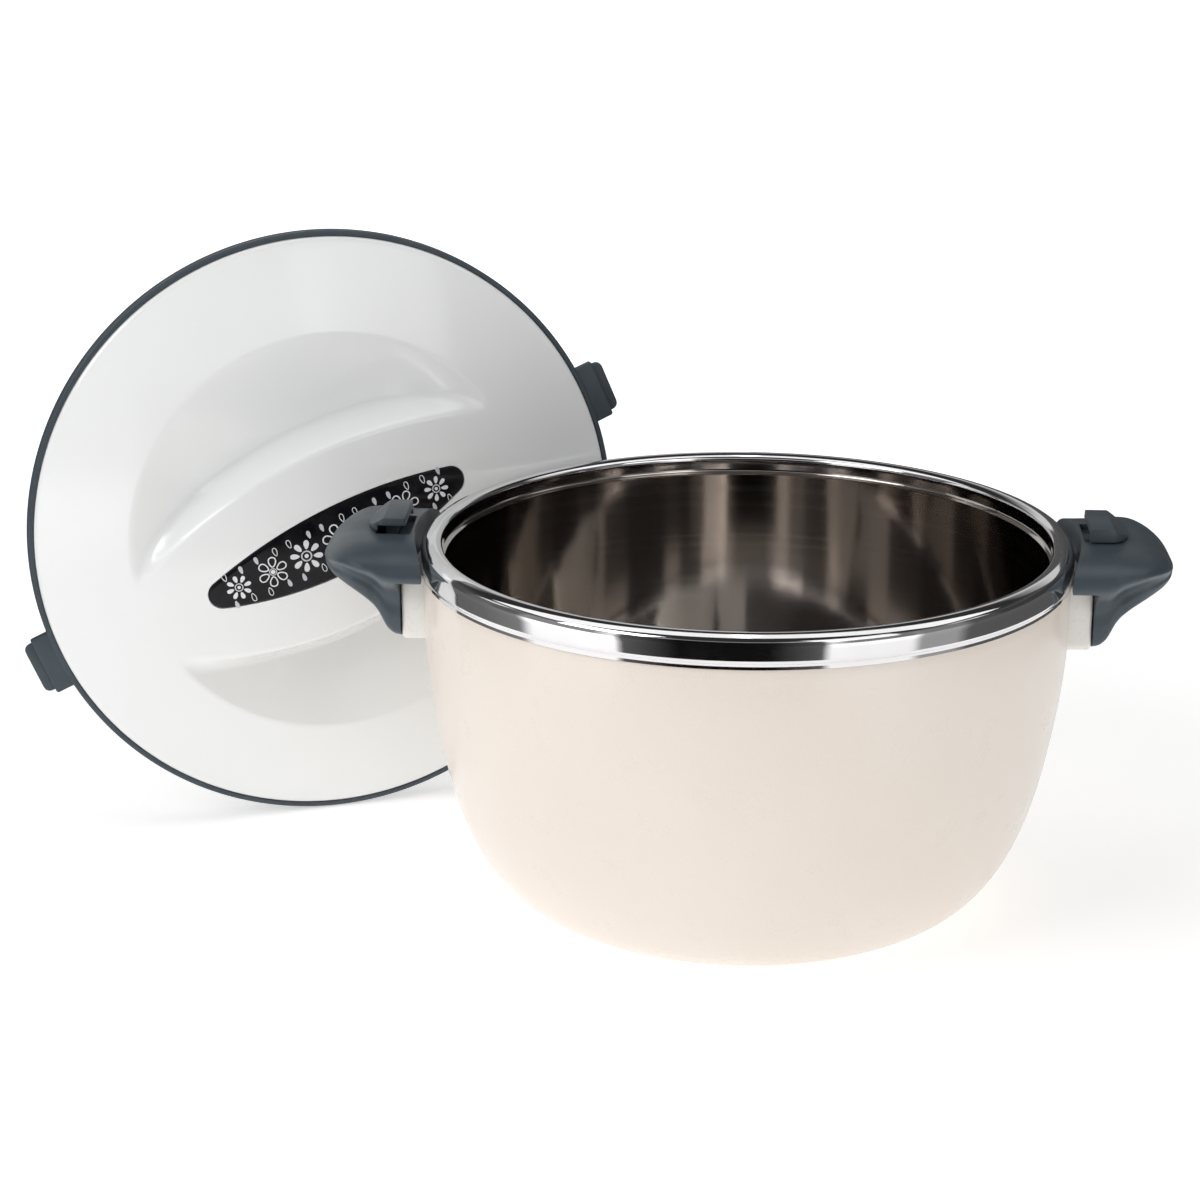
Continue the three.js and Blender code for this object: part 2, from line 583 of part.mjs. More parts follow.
function lensOutline(halfLength, halfWidth, endRadius) {
  const reach = halfLength - endRadius;
  const rise = halfWidth - endRadius;
  const bow = (reach ** 2 + rise ** 2) / (2 * rise); // plan radius of the long sides, less the ends
  const open = Math.atan2(reach, bow - rise);
  const outline = new THREE.Shape();
  outline.absarc(0, rise - bow, bow + endRadius, Math.PI / 2 - open, Math.PI / 2 + open, false);
  outline.absarc(-reach, 0, endRadius, Math.PI / 2 + open, (3 * Math.PI) / 2 - open, false);
  outline.absarc(0, bow - rise, bow + endRadius, (3 * Math.PI) / 2 - open, (3 * Math.PI) / 2 + open, false);
  outline.absarc(reach, 0, endRadius, -Math.PI / 2 + open, Math.PI / 2 - open, false);
  return outline;
}

// Everything under the dome's surface lowered by `depth`.
function underDome(depth) {
  const rings = [0, ...coverRings, LID_COVER_RADIUS];
  return solid(turned([
    [0, 0],
    [LID_COVER_RADIUS, 0],
    ...rings.toReversed().map((radius) => [radius, domeHeight(radius) - depth]),
  ], COVER_STEPS));
}

const lensPrism = (grow) => solid(raised(
  lensOutline(INLAY_HALF_LENGTH + grow, INLAY_HALF_WIDTH + grow, INLAY_END_RADIUS + grow),
  1, LID_EDGE_HEIGHT + LID_CROWN + 1, 5));

function lidCover() {
  const edge = LID_COVER_RADIUS;
  const inner = edge - LID_COVER_WALL;
  const top = [...coverRings, edge - 1.5].map((radius) => [radius, domeHeight(radius)]);
  const under = coverRings.map((radius) => [radius, domeHeight(radius) - LID_COVER_WALL]);
  const cover = turned([
    [0, domeHeight(0)],
    ...top,
    [edge, LID_EDGE_HEIGHT - 0.8],
    [edge, LID_EDGE_HEIGHT - 3],
    [inner, LID_EDGE_HEIGHT - 3],
    ...under.toReversed(),
    [0, domeHeight(0) - LID_COVER_WALL],
  ], COVER_STEPS);
  const place = cover.attributes.position;
  for (let i = 0; i < place.count; i += 1) {
    place.setZ(i, place.getZ(i) - scoopDepth(place.getX(i), place.getY(i)));
  }
  const seat = lensPrism(FIT).subtract(underDome(INLAY_THICKNESS + FIT));
  return solid(cover).subtract(seat);
}

const lidInlay = () => lensPrism(0).intersect(underDome(0)).subtract(underDome(INLAY_THICKNESS));

// The dark ring carries the cover, the seal and the two lugs that the latches hold.
const RING_SHELF = 3.4;
const RING_INNER = 118;

// One step of a lug, from inside the ring out to `reach`, with round outer corners.
function lugStep(reach, half, corner, height) {
  const root = LID_RADIUS - 3;
  const outline = new THREE.Shape();
  outline.moveTo(root, -half);
  outline.lineTo(reach - corner, -half);
  outline.absarc(reach - corner, -half + corner, corner, -Math.PI / 2, 0, false);
  outline.absarc(reach - corner, half - corner, corner, 0, Math.PI / 2, false);
  outline.lineTo(root, half);
  return raised(outline, LUG_BOTTOM, height);
}

function lidRing() {
  let ring = solid(turned([
    [RING_INNER, 0],
    [LID_RADIUS - 0.8, 0],
    [LID_RADIUS, 0.8],
    [LID_RADIUS, 2.8],
    [LID_RADIUS - 0.7, 3.3],
    [LID_RADIUS, 3.8],
    [LID_RADIUS, LID_RING_HEIGHT - 0.6],
    [LID_RADIUS - 0.6, LID_RING_HEIGHT],
    [LID_COVER_RADIUS + FIT, LID_RING_HEIGHT],
    [LID_COVER_RADIUS + FIT, RING_SHELF],
    [RING_INNER, RING_SHELF],
  ]));
  for (const turn of [0, Math.PI]) {
    const thick = lugStep(LUG_LEDGE_RADIUS, LUG_HALF_WIDTH, 0.4, LUG_HEIGHT).rotateZ(turn);
    const ledge = lugStep(LUG_REACH, LUG_LEDGE_HALF_WIDTH, 3, LUG_LEDGE_HEIGHT).rotateZ(turn);
    ring = ring.add(solid(thick)).add(solid(ledge));
  }
  return ring.subtract(solid(drum(LID_COVER_RADIUS + FIT, RING_SHELF, LID_RING_HEIGHT + 1)));
}

const lidSeal = () => turned([
  [RING_INNER + 0.3, -0.4],
  [RING_INNER + 0.3, -4.6],
  [RING_INNER + 1.4, -4.6],
  [MOUTH_RADIUS - 0.6, -3.2],
  [MOUTH_RADIUS - 0.6, -2.2],
  [RING_INNER + 1.8, -2],
  [RING_INNER + 1.8, -0.4],
]);

// A shallow steel pan that closes the lid from below.
const PAN_DEPTH = 7;
const PAN_RADIUS = RING_INNER - FIT;
const PAN_WALL = 1;

const lidInnerPan = () => turned([
  [0, -PAN_DEPTH],
  [PAN_RADIUS - 8, -PAN_DEPTH],
  [PAN_RADIUS - 2, -PAN_DEPTH + 1.4],
  [PAN_RADIUS, -PAN_DEPTH + 4],
  [PAN_RADIUS, RING_SHELF],
  [PAN_RADIUS - PAN_WALL, RING_SHELF],
  [PAN_RADIUS - PAN_WALL, -PAN_DEPTH + 4.4],
  [PAN_RADIUS - 2.8, -PAN_DEPTH + 2.3],
  [PAN_RADIUS - 8.4, -PAN_DEPTH + PAN_WALL],
  [0, -PAN_DEPTH + PAN_WALL],
]);

const lidInsulation = () => turned([
  [0, -PAN_DEPTH + PAN_WALL + FIT],
  [PAN_RADIUS - 10, -PAN_DEPTH + PAN_WALL + FIT],
  [PAN_RADIUS - 4, -PAN_DEPTH + 4.4],
  [PAN_RADIUS - 4, 5],
  [PAN_RADIUS - 12, 7.6],
  [0, 7.6],
]);

// ---------------------------------------------------------------- assembly
const casserole = new THREE.Group();

function addPiece(group, name, shape, look, place = [0, 0, 0]) {
  const body = shape.isBufferGeometry ? solid(shape) : shape;
  const mesh = new THREE.Mesh(geometryOf(body), new THREE.MeshStandardMaterial(look));
  mesh.name = name;
  mesh.position.set(...place);
  group.add(mesh);
}

function addBody() {
  addPiece(casserole, 'outer_shell', outerShell(), CREAM);
  addPiece(casserole, 'body_insulation', bodyInsulation(), FOAM);
  addPiece(casserole, 'liner_bowl', linerBowl(), LINER_STEEL);
  addPiece(casserole, 'rim_ring', rimRing(), POLISHED);
  addPiece(casserole, 'base_cover', baseCover(), CREAM);
  baseScrewPlaces().forEach(([x, y], i) => {
    addPiece(casserole, `base_screw_${i + 1}`, baseScrew(), SCREW_STEEL, [x, y, BASE_WELL_DEPTH - FIT]);
  });
}

// One handle with its bracket, latch and fasteners; the left one is turned half round.
function addHandle(side, turn) {
  const group = new THREE.Group();
  group.rotation.z = turn;
  casserole.add(group);
  addPiece(group, `handle_bracket_${side}`, handleBracket(), BRACKET_WHITE);
  addPiece(group, `handle_grip_${side}`, handleGrip(), SLATE);
  addPiece(group, `latch_slider_${side}`, latchSlider(), SLATE);
  addPiece(group, `latch_retainer_${side}`, latchRetainer(), GREY_NYLON);
  addPiece(group, `latch_screw_${side}`, retainerScrew(), SCREW_STEEL,
    [STEM_MIDDLE, 0, RETAINER_TOP - RETAINER_THICKNESS - 0.1]);
  addPiece(group, `detent_spring_${side}`, detentSpring(), SPRING_STEEL);
  [['front', -HANDLE_SCREW_SPREAD], ['back', HANDLE_SCREW_SPREAD]].forEach(([end, across]) => {
    addPiece(group, `handle_screw_${side}_${end}`, handleScrew(), SCREW_STEEL,
      [HANDLE_SCREW_SEAT - 0.3, across, HANDLE_SCREW_HEIGHT]);
  });
}

// The lid stands on its edge: its outer face looks forwards and a little to the right.
function addLid() {
  const stand = new THREE.Group();
  const lean = degrees(LID_STAND.lean);
  const height = LID_RADIUS * Math.cos(lean);
  stand.position.set(LID_STAND.x, LID_STAND.y, height);
  stand.rotation.set(Math.PI / 2 - lean, 0, degrees(LID_STAND.facing), 'ZYX');
  const lid = new THREE.Group();
  lid.rotation.z = degrees(LID_STAND.turn);
  stand.add(lid);
  casserole.add(stand);
  addPiece(lid, 'lid_cover', lidCover(), GLOSS_WHITE);
  addPiece(lid, 'lid_inlay', lidInlay(), GLOSS_BLACK);
  addPiece(lid, 'lid_ring', lidRing(), SLATE);
  addPiece(lid, 'lid_seal', lidSeal(), SILICONE);
  addPiece(lid, 'lid_insulation', lidInsulation(), FOAM);
  addPiece(lid, 'lid_inner_pan', lidInnerPan(), LINER_STEEL);
}

addBody();
addHandle('right', 0);
addHandle('left', Math.PI);
addLid();

export default casserole;
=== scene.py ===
import math

import bmesh
import bpy
import numpy as np
from mathutils import Matrix, Vector


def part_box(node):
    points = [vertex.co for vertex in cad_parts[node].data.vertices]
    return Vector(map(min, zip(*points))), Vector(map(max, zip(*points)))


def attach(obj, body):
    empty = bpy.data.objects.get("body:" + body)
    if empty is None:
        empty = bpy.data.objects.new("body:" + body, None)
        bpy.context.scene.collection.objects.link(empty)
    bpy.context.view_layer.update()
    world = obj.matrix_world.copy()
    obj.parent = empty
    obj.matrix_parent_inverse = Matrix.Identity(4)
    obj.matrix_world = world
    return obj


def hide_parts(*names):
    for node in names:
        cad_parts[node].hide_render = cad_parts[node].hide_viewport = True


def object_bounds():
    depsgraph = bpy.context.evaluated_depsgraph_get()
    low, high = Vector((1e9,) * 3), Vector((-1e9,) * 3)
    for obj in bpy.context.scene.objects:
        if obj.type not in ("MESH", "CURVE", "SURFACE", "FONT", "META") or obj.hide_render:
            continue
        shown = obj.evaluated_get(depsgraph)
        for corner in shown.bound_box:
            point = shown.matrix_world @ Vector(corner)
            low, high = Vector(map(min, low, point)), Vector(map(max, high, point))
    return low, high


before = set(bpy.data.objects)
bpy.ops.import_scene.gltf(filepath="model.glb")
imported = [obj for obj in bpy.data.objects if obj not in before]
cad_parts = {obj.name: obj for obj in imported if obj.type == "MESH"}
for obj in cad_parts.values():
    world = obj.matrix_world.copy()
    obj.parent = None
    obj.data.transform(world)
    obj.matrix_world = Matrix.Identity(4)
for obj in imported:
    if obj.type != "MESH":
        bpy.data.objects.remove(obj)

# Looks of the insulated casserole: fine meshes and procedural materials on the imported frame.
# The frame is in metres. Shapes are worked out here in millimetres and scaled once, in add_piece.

cad_low, cad_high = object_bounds()

MM = 0.001
ROUND = 256  # facets around the large round pieces
TAU = 2 * math.pi


# ------------------------------------------------------------------ sizes read from the frame
def corners(node):
    """The corners of a CAD node, each once, in millimetres."""
    points = np.array([v.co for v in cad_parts[node].data.vertices]) / MM
    return np.unique(points.round(3), axis=0)


def distances(node, ceiling):
    """Distances from the Z axis of a node's corners up to a height."""
    points = corners(node)
    level = points[:, 2] <= ceiling
    return np.hypot(points[level, 0], points[level, 1])


def reach(node, ceiling=math.inf):
    """Farthest that a node gets from the Z axis below a height."""
    return distances(node, ceiling).max()


def nearest(node, ceiling=math.inf):
    """Nearest that a node gets to the Z axis below a height."""
    return distances(node, ceiling).min()


def span(node):
    """Lowest and highest corner of a CAD node in millimetres."""
    low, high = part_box(node)
    return np.array(low) / MM, np.array(high) / MM


rim_low, rim_high = span("rim_ring")
shell_high = span("outer_shell")[1]
liner_low, liner_high = span("liner_bowl")
bracket_low, bracket_high = span("handle_bracket_right")
grip_high = span("handle_grip_right")[1]
latch_low, latch_high = span("latch_slider_right")
cover_high = span("base_cover")[1]

RIM_RADIUS = rim_high[0]
RIM_TOP = rim_high[2]
RIM_LIP_BOTTOM = rim_low[2]
MOUTH_RADIUS = nearest("rim_ring")
SHELL_RADIUS = reach("outer_shell")
SHELL_EDGE = RIM_LIP_BOTTOM - 0.3  # upper edge of the shell's outside, under the rim's lip
BASE_LEVEL = 0.01  # corners up to this height lie on the table
FOOT_RADIUS = reach("outer_shell", BASE_LEVEL)
BRACKET_REACH = bracket_high[0]
HANDLE_REACH = grip_high[0]
FIT = 0.4  # play between pieces that lie against each other


def lid_placement():
    """Matrix, in millimetres, from the lid's own axes (ridge along X, face along +Z) to the frame."""
    seal, ring, inlay = corners("lid_seal"), corners("lid_ring"), corners("lid_inlay")
    middle = seal.mean(axis=0)
    axis = np.linalg.svd(seal - middle)[2][2]
    axis *= -np.sign(axis[1])
    ridge = np.linalg.svd(inlay - inlay.mean(axis=0))[2][0]
    ridge -= axis * (ridge @ axis)
    ridge *= np.sign(ridge[0]) / np.linalg.norm(ridge)
    origin = middle + axis * ((ring - middle) @ axis).min()
    placement = np.eye(4)
    placement[:3, 0] = ridge
    placement[:3, 1] = np.cross(axis, ridge)
    placement[:3, 2] = axis
    placement[:3, 3] = origin
    return placement


LID_PLACE = lid_placement()


def in_lid(node):
    """The corners of a lid node in the lid's own axes."""
    return (corners(node) - LID_PLACE[:3, 3]) @ LID_PLACE[:3, :3]


def lid_reach(node):
    points = in_lid(node)
    return np.hypot(points[:, 0], points[:, 1]).max()


LID_COVER_RADIUS = lid_reach("lid_cover")
LID_EDGE_HEIGHT = 7.0  # top of the cover at its edge
LID_CROWN = 24.0  # rise of the cover from its edge to its middle
LID_COVER_WALL = 2.2
LID_RING_HEIGHT = in_lid("lid_ring")[:, 2].max()
LID_RADIUS = 127.6
LUG_REACH = lid_reach("lid_ring") - 0.15  # keeps the round corners inside the CAD's chamfered ones


# ------------------------------------------------------------------ mesh helpers
def fresh_mesh(vertices, faces):
    """A mesh with merged corners and its faces pointing out."""
    mesh = bpy.data.meshes.new("piece")
    mesh.from_pydata([tuple(v) for v in vertices], [], [tuple(f) for f in faces])
    work = bmesh.new()
    work.from_mesh(mesh)
    bmesh.ops.remove_doubles(work, verts=work.verts, dist=1e-4)
    bmesh.ops.recalc_face_normals(work, faces=work.faces)
    work.to_mesh(mesh)
    work.free()
    return mesh


def turned(profile, steps=ROUND):
    """A closed solid of revolution about Z from (radius, height) points."""
    points = np.array(profile, float)
    on_axis = points[0, 0] == 0 and points[-1, 0] == 0
    angles = np.arange(steps) * TAU / steps
    rows = [np.column_stack([r * np.cos(angles), r * np.sin(angles), np.full(steps, z)]) for r, z in points]
    pairs = [(i, i + 1) for i in range(len(points) - 1)]
    if not on_axis:
        pairs.append((len(points) - 1, 0))
    faces = []
    for low, high in pairs:
        for j in range(steps):
            k = (j + 1) % steps
            corner = [low * steps + j, low * steps + k, high * steps + k, high * steps + j]
            if points[low, 0] == 0:
                corner = [corner[0], corner[2], corner[3]]
            elif points[high, 0] == 0:
                corner = corner[:3]
            faces.append(corner)
    return fresh_mesh(np.concatenate(rows), faces)


def rounded(points, radius, steps=5, closed=True):
    """The outline with its corners rounded off by curves that start `radius` from each corner."""
    points = [np.array(p, float) for p in points]
    result = []
    for i, corner in enumerate(points):
        before = corner - points[i - 1]
        after = points[(i + 1) % len(points)] - corner
        if not closed and i in (0, len(points) - 1):
            result.append(corner)
            continue
        start = corner - before * min(0.48, radius / np.linalg.norm(before))
        end = corner + after * min(0.48, radius / np.linalg.norm(after))
        for t in np.linspace(0, 1, steps + 1):
            result.append((1 - t) ** 2 * start + 2 * t * (1 - t) * corner + t**2 * end)
    return result


def prism(outline, low, high, along="z"):
    """An outline drawn out between two places along an axis; its points are in the other two axes."""
    place = {"z": lambda p, h: (p[0], p[1], h), "y": lambda p, h: (p[0], h, p[1]),
             "x": lambda p, h: (h, p[0], p[1])}[along]
    count = len(outline)
    vertices = [place(p, low) for p in outline] + [place(p, high) for p in outline]
    faces = [(i, (i + 1) % count, count + (i + 1) % count, count + i) for i in range(count)]
    faces += [tuple(range(count)), tuple(range(count, 2 * count))]
    return fresh_mesh(vertices, faces)


def block(x, y, z):
    return prism([(x[0], y[0]), (x[1], y[0]), (x[1], y[1]), (x[0], y[1])], z[0], z[1])


def drum(radius, low, high, steps=64):
    return turned([(0, low), (radius, low), (radius, high), (0, high)], steps)


def moved(mesh, matrix):
    mesh.transform(Matrix(matrix))
    return mesh


def rod_along_x(radius, start, end, y, z, steps=24):
    mesh = drum(radius, start, end, steps)
    return moved(mesh, Matrix.Translation((0, y, z)) @ Matrix.Rotation(math.pi / 2, 4, "Y"))


def evaluated(mesh, add_modifiers):
    """The mesh after the modifiers that add_modifiers puts on a passing object."""
    carrier = bpy.data.objects.new("carrier", mesh)
    bpy.context.scene.collection.objects.link(carrier)
    extra = add_modifiers(carrier) or []
    graph = bpy.context.evaluated_depsgraph_get()
    result = bpy.data.meshes.new_from_object(carrier.evaluated_get(graph))
    for thing in [carrier, *extra]:
        bpy.data.objects.remove(thing)
    return result


def combined(mesh, others, operation="DIFFERENCE"):
    """The mesh cut by, joined with or limited to each of the others."""
    def add(carrier):
        tools = []
        for other in others:
            tool = bpy.data.objects.new("tool", other)
            bpy.context.scene.collection.objects.link(tool)
            modifier = carrier.modifiers.new("cut", "BOOLEAN")
            modifier.operation = operation
            modifier.solver = "EXACT"
            modifier.object = tool
            tools.append(tool)
        return tools
    return evaluated(mesh, add)


def bevelled(mesh, width, angle=30, segments=3):
    def add(carrier):
        modifier = carrier.modifiers.new("edges", "BEVEL")
        modifier.width = width
        modifier.segments = segments
        modifier.limit_method = "ANGLE"
        modifier.angle_limit = math.radians(angle)
    return evaluated(mesh, add)


def add_piece(name, mesh, body, look, replaces=(), sharp=32):
    """Puts a mesh made in millimetres into the scene as a piece that rides on a body."""
    mesh.transform(Matrix.Scale(MM, 4))
    mesh.name = name
    mesh.materials.clear()
    mesh.materials.append(look)
    mesh.polygons.foreach_set("use_smooth", np.ones(len(mesh.polygons), bool))
    mesh.set_sharp_from_angle(angle=math.radians(sharp))
    piece = bpy.data.objects.new(name, mesh)
    bpy.context.scene.collection.objects.link(piece)
    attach(piece, body)
    if replaces:
        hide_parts(*replaces)
    return piece


def bowl_curve(inner, outer, low, high, roundness, steps):
    """Quarter curve from (inner, low) to (outer, high), level at the bottom and upright at the top."""
    t = (math.pi / 2) * (1 - np.linspace(0, 1, steps + 1))
    across = np.cos(t).clip(0) ** (2 / roundness)
    down = np.sin(t) ** (2 / roundness)
    return np.column_stack([inner + (outer - inner) * across, high - (high - low) * down])


def spline(points, samples=400):
    """A Catmull-Rom curve through the points."""
    points = np.array(points, float)
    last = len(points) - 1
    t = np.linspace(0, last, samples)
    i = np.minimum(t.astype(int), last - 1)
    w = (t - i)[:, None]
    before, start = points[np.maximum(i - 1, 0)], points[i]
    end, after = points[i + 1], points[np.minimum(i + 2, last)]
    lead, trail = (end - before) / 2, (after - start) / 2
    return ((2 * start - 2 * end + lead + trail) * w**3
            + (-3 * start + 3 * end - 2 * lead - trail) * w**2 + lead * w + start)


def smoothstep(value, low, high):
    t = np.clip((value - low) / (high - low), 0, 1)
    return t * t * (3 - 2 * t)


# ------------------------------------------------------------------ materials
class Wiring:
    """Adds and links nodes in a node tree that starts empty."""

    def __init__(self, tree):
        self.tree = tree
        tree.nodes.clear()

    def add(self, kind, **settings):
        node = self.tree.nodes.new(kind)
        for name, value in settings.items():
            setattr(node, name, value)
        return node

    def link(self, source, target):
        self.tree.links.new(source, target)

    def split(self, vector):
        """The three numbers of a vector."""
        node = self.add("ShaderNodeSeparateXYZ")
        self.link(vector, node.inputs[0])
        return node.outputs

    def spread(self, value, low, high, source=(0.35, 0.65)):
        """The value taken from the source range to between low and high."""
        node = self.add("ShaderNodeMapRange")
        for name, number in zip(("From Min", "From Max", "To Min", "To Max"), (*source, low, high)):
            node.inputs[name].default_value = number
        self.link(value, node.inputs["Value"])
        return node.outputs[0]

    def math(self, operation, first, second):
        node = self.add("ShaderNodeMath", operation=operation)
        for socket, value in zip(node.inputs, (first, second)):
            if isinstance(value, (int, float)):
                socket.default_value = value
            else:
                self.link(value, socket)
        return node.outputs[0]

    def blend(self, share, first, second):
        """Colour between two, by a share; a colour may be a socket."""
        node = self.add("ShaderNodeMix", data_type="RGBA")
        self.link(share, node.inputs[0])
        colors = [s for s in node.inputs if s.type == "RGBA"]
        for socket, value in zip(colors, (first, second)):
            if isinstance(value, tuple):
                socket.default_value = (*value, 1)
            else:
                self.link(value, socket)
        return next(s for s in node.outputs if s.type == "RGBA")

    def finish(self, kind, share, first, second):
        """Ends in an output node that shows a mix of two shaders."""
        mix = self.add("ShaderNodeMixShader")
        for source, socket in zip((share, first.outputs[0], second.outputs[0]), mix.inputs):
            self.link(source, socket)
        self.link(mix.outputs[0], self.add(kind).inputs[0])


class Look(Wiring):
    """A material being wired up around one Principled shader."""

    def __init__(self, name, color, roughness, **sockets):
        self.material = bpy.data.materials.new(name)
        self.material.use_nodes = True
        super().__init__(self.material.node_tree)
        self.shader = self.add("ShaderNodeBsdfPrincipled")
        output = self.add("ShaderNodeOutputMaterial")
        self.link(self.shader.outputs[0], output.inputs[0])
        self.color = self.shader.inputs["Base Color"]
        self.roughness = self.shader.inputs["Roughness"]
        self.set("Base Color", (*color, 1))
        self.set("Roughness", roughness)
        for socket, value in sockets.items():
            self.set(socket.replace("_", " "), value)
        self.place = self.add("ShaderNodeTexCoord").outputs["Object"]
        self.normal = None

    def set(self, socket, value):
        self.shader.inputs[socket].default_value = value

    def noise(self, scale, detail=3.0, place=None, stretch=None):
        """A noise value; scale is in cells per metre."""
        place = place or self.place
        if stretch:
            mapping = self.add("ShaderNodeMapping")
            mapping.inputs["Scale"].default_value = stretch
            self.link(place, mapping.inputs["Vector"])
            place = mapping.outputs[0]
        node = self.add("ShaderNodeTexNoise")
        node.inputs["Scale"].default_value = scale
        node.inputs["Detail"].default_value = detail
        self.link(place, node.inputs["Vector"])
        return node.outputs["Fac"]

    def flakes(self, scale):
        node = self.add("ShaderNodeTexVoronoi")
        node.inputs["Scale"].default_value = scale
        self.link(self.place, node.inputs["Vector"])
        split = self.add("ShaderNodeSeparateColor")
        self.link(node.outputs["Color"], split.inputs[0])
        return split.outputs[0]

    def bump(self, height, distance):
        """Adds relief of about `distance` metres to the surface."""
        node = self.add("ShaderNodeBump")
        node.inputs["Strength"].default_value = 1.0
        node.inputs["Distance"].default_value = distance
        self.link(height, node.inputs["Height"])
        if self.normal is not None:
            self.link(self.normal, node.inputs["Normal"])
        self.normal = node.outputs[0]
        self.link(self.normal, self.shader.inputs["Normal"])

    def soften_edges(self, radius):
        """Rounds the light on hard edges; it comes before any bump."""
        node = self.add("ShaderNodeBevel", samples=4)
        node.inputs["Radius"].default_value = radius
        self.normal = node.outputs[0]
        self.link(self.normal, self.shader.inputs["Normal"])

    def around_axis(self):
        """Coordinates that change with radius and height only, for turned and spun marks."""
        x, y, z = self.split(self.place)
        squares = [self.math("MULTIPLY", value, value) for value in (x, y)]
        join = self.add("ShaderNodeCombineXYZ")
        self.link(self.math("POWER", self.math("ADD", *squares), 0.5), join.inputs[0])
        self.link(z, join.inputs[1])
        return join.outputs[0]

    def mottled(self, tints, cloud, glosses, gloss_cloud, grain, relief):
        """The usual surface: colour and gloss that drift, and a fine grain; noises as (scale, detail)."""
        drift = self.noise(*cloud)
        self.link(self.blend(self.spread(drift, 0, 1), *tints), self.color)
        if gloss_cloud != cloud:
            drift = self.noise(*gloss_cloud)
        self.link(self.spread(drift, *glosses), self.roughness)
        self.bump(self.noise(*grain), relief)
        return self.material


def pearl_cream():
    look = Look("pearl_cream", (0.83, 0.745, 0.665), 0.34, Coat_Weight=0.35, Coat_Roughness=0.12,
                Specular_IOR_Level=0.5)
    flakes = look.flakes(5200)
    drift = look.noise(14, 2)
    tint = look.blend(look.spread(drift, 0, 1), (0.84, 0.757, 0.68), (0.82, 0.733, 0.65))
    sparkle = look.blend(look.spread(flakes, 0, 0.35, (0, 1)), tint, (0.93, 0.86, 0.79))
    # Darker streaky patches over the lowest 18 mm of the shell and the base plate, towards a deeper cream.
    low_streaks = look.noise(420, 4, stretch=(1, 1, 0.25))
    foot = look.spread(look.split(look.place)[2], 1, 0, (0.0, 0.018))
    low_darkening = look.math("MULTIPLY", look.spread(low_streaks, 0, 0.5, (0.5, 0.72)), foot)
    look.link(look.blend(low_darkening, sparkle, (0.6, 0.54, 0.48)), look.color)
    gloss = look.spread(look.noise(60, 5), 0.29, 0.38)
    look.link(look.math("ADD", gloss, look.spread(flakes, -0.03, 0.05, (0, 1))),
              look.roughness)
    look.bump(look.noise(260, 2), 0.00002)
    look.bump(look.noise(2600, 2), 0.000004)
    return look.material


def bracket_white():
    look = Look("bracket_white", (0.83, 0.81, 0.775), 0.3, Coat_Weight=0.25, Coat_Roughness=0.1)
    tints = (0.85, 0.83, 0.795), (0.81, 0.785, 0.75)
    return look.mottled(tints, (45, 3), (0.26, 0.36), (320, 4), (520, 2), 0.000012)



def polished_steel():
    """The mirror-bright rim: fine spun lines, a few hairlines and faint smudges."""
    look = Look("polished_steel", (0.80, 0.79, 0.80), 0.05, Metallic=1.0)
    spun = look.noise(9000, 2, place=look.around_axis())
    smudge = look.noise(38, 4)
    hairline = look.noise(900, 2, stretch=(1, 1, 14))
    look.link(look.blend(look.spread(smudge, 0, 1), (0.82, 0.81, 0.825), (0.76, 0.75, 0.755)),
              look.color)
    base = look.spread(smudge, 0.035, 0.085)
    look.link(look.math("ADD", base, look.spread(hairline, 0, 0.05, (0.6, 0.75))),
              look.roughness)
    look.bump(spun, 0.0000012)
    return look.material


def liner_steel():
    """The drawn liner: spun lines right round, light scratches and a warm cast."""
    look = Look("liner_steel", (0.55, 0.51, 0.475), 0.07, Metallic=1.0)
    rings = look.around_axis()
    spun = look.noise(2600, 3, place=rings)
    smudge = look.noise(24, 4)
    look.link(look.blend(look.spread(smudge, 0, 1), (0.585, 0.55, 0.52), (0.545, 0.505, 0.47)),
              look.color)
    wear = look.spread(look.noise(320, 4, place=rings), 0, 0.05, (0.55, 0.75))
    look.link(look.math("ADD", look.spread(spun, 0.045, 0.085), wear), look.roughness)
    look.bump(spun, 0.0000007)
    return look.material


def slate_plastic():
    """Dark slate handles: a fine spark-eroded grain with slightly polished wear."""
    look = Look("slate_plastic", (0.05, 0.068, 0.082), 0.42, Specular_IOR_Level=0.45)
    look.soften_edges(0.0005)
    tints = (0.053, 0.072, 0.086), (0.046, 0.063, 0.077)
    return look.mottled(tints, (55, 4), (0.36, 0.47), (55, 4), (2400, 3), 0.000016)



def gloss_white():
    look = Look("gloss_white", (0.89, 0.90, 0.895), 0.2, Coat_Weight=0.5, Coat_Roughness=0.08)
    drift = look.noise(11, 2)
    look.link(look.blend(look.spread(drift, 0, 1), (0.90, 0.91, 0.905), (0.88, 0.892, 0.888)),
              look.color)
    hairline = look.noise(700, 3, stretch=(1, 8, 1))
    look.link(look.math("ADD", look.spread(look.noise(70, 4), 0.13, 0.19),
                        look.spread(hairline, 0, 0.1, (0.64, 0.78))), look.roughness)
    look.bump(look.noise(140, 2), 0.000012)
    return look.material


def gloss_black():
    look = Look("gloss_black", (0.006, 0.006, 0.007), 0.1, Specular_IOR_Level=0.22)
    tints = (0.005, 0.005, 0.006), (0.009, 0.009, 0.011)
    return look.mottled(tints, (90, 3), (0.07, 0.16), (120, 4), (180, 2), 0.000008)



def print_ink(name, color):
    look = Look(name, color, 0.3)
    shade = tuple(0.9 * c for c in color)
    return look.mottled((color, shade), (900, 3), (0.24, 0.36), (500, 3), (3500, 2), 0.000004)



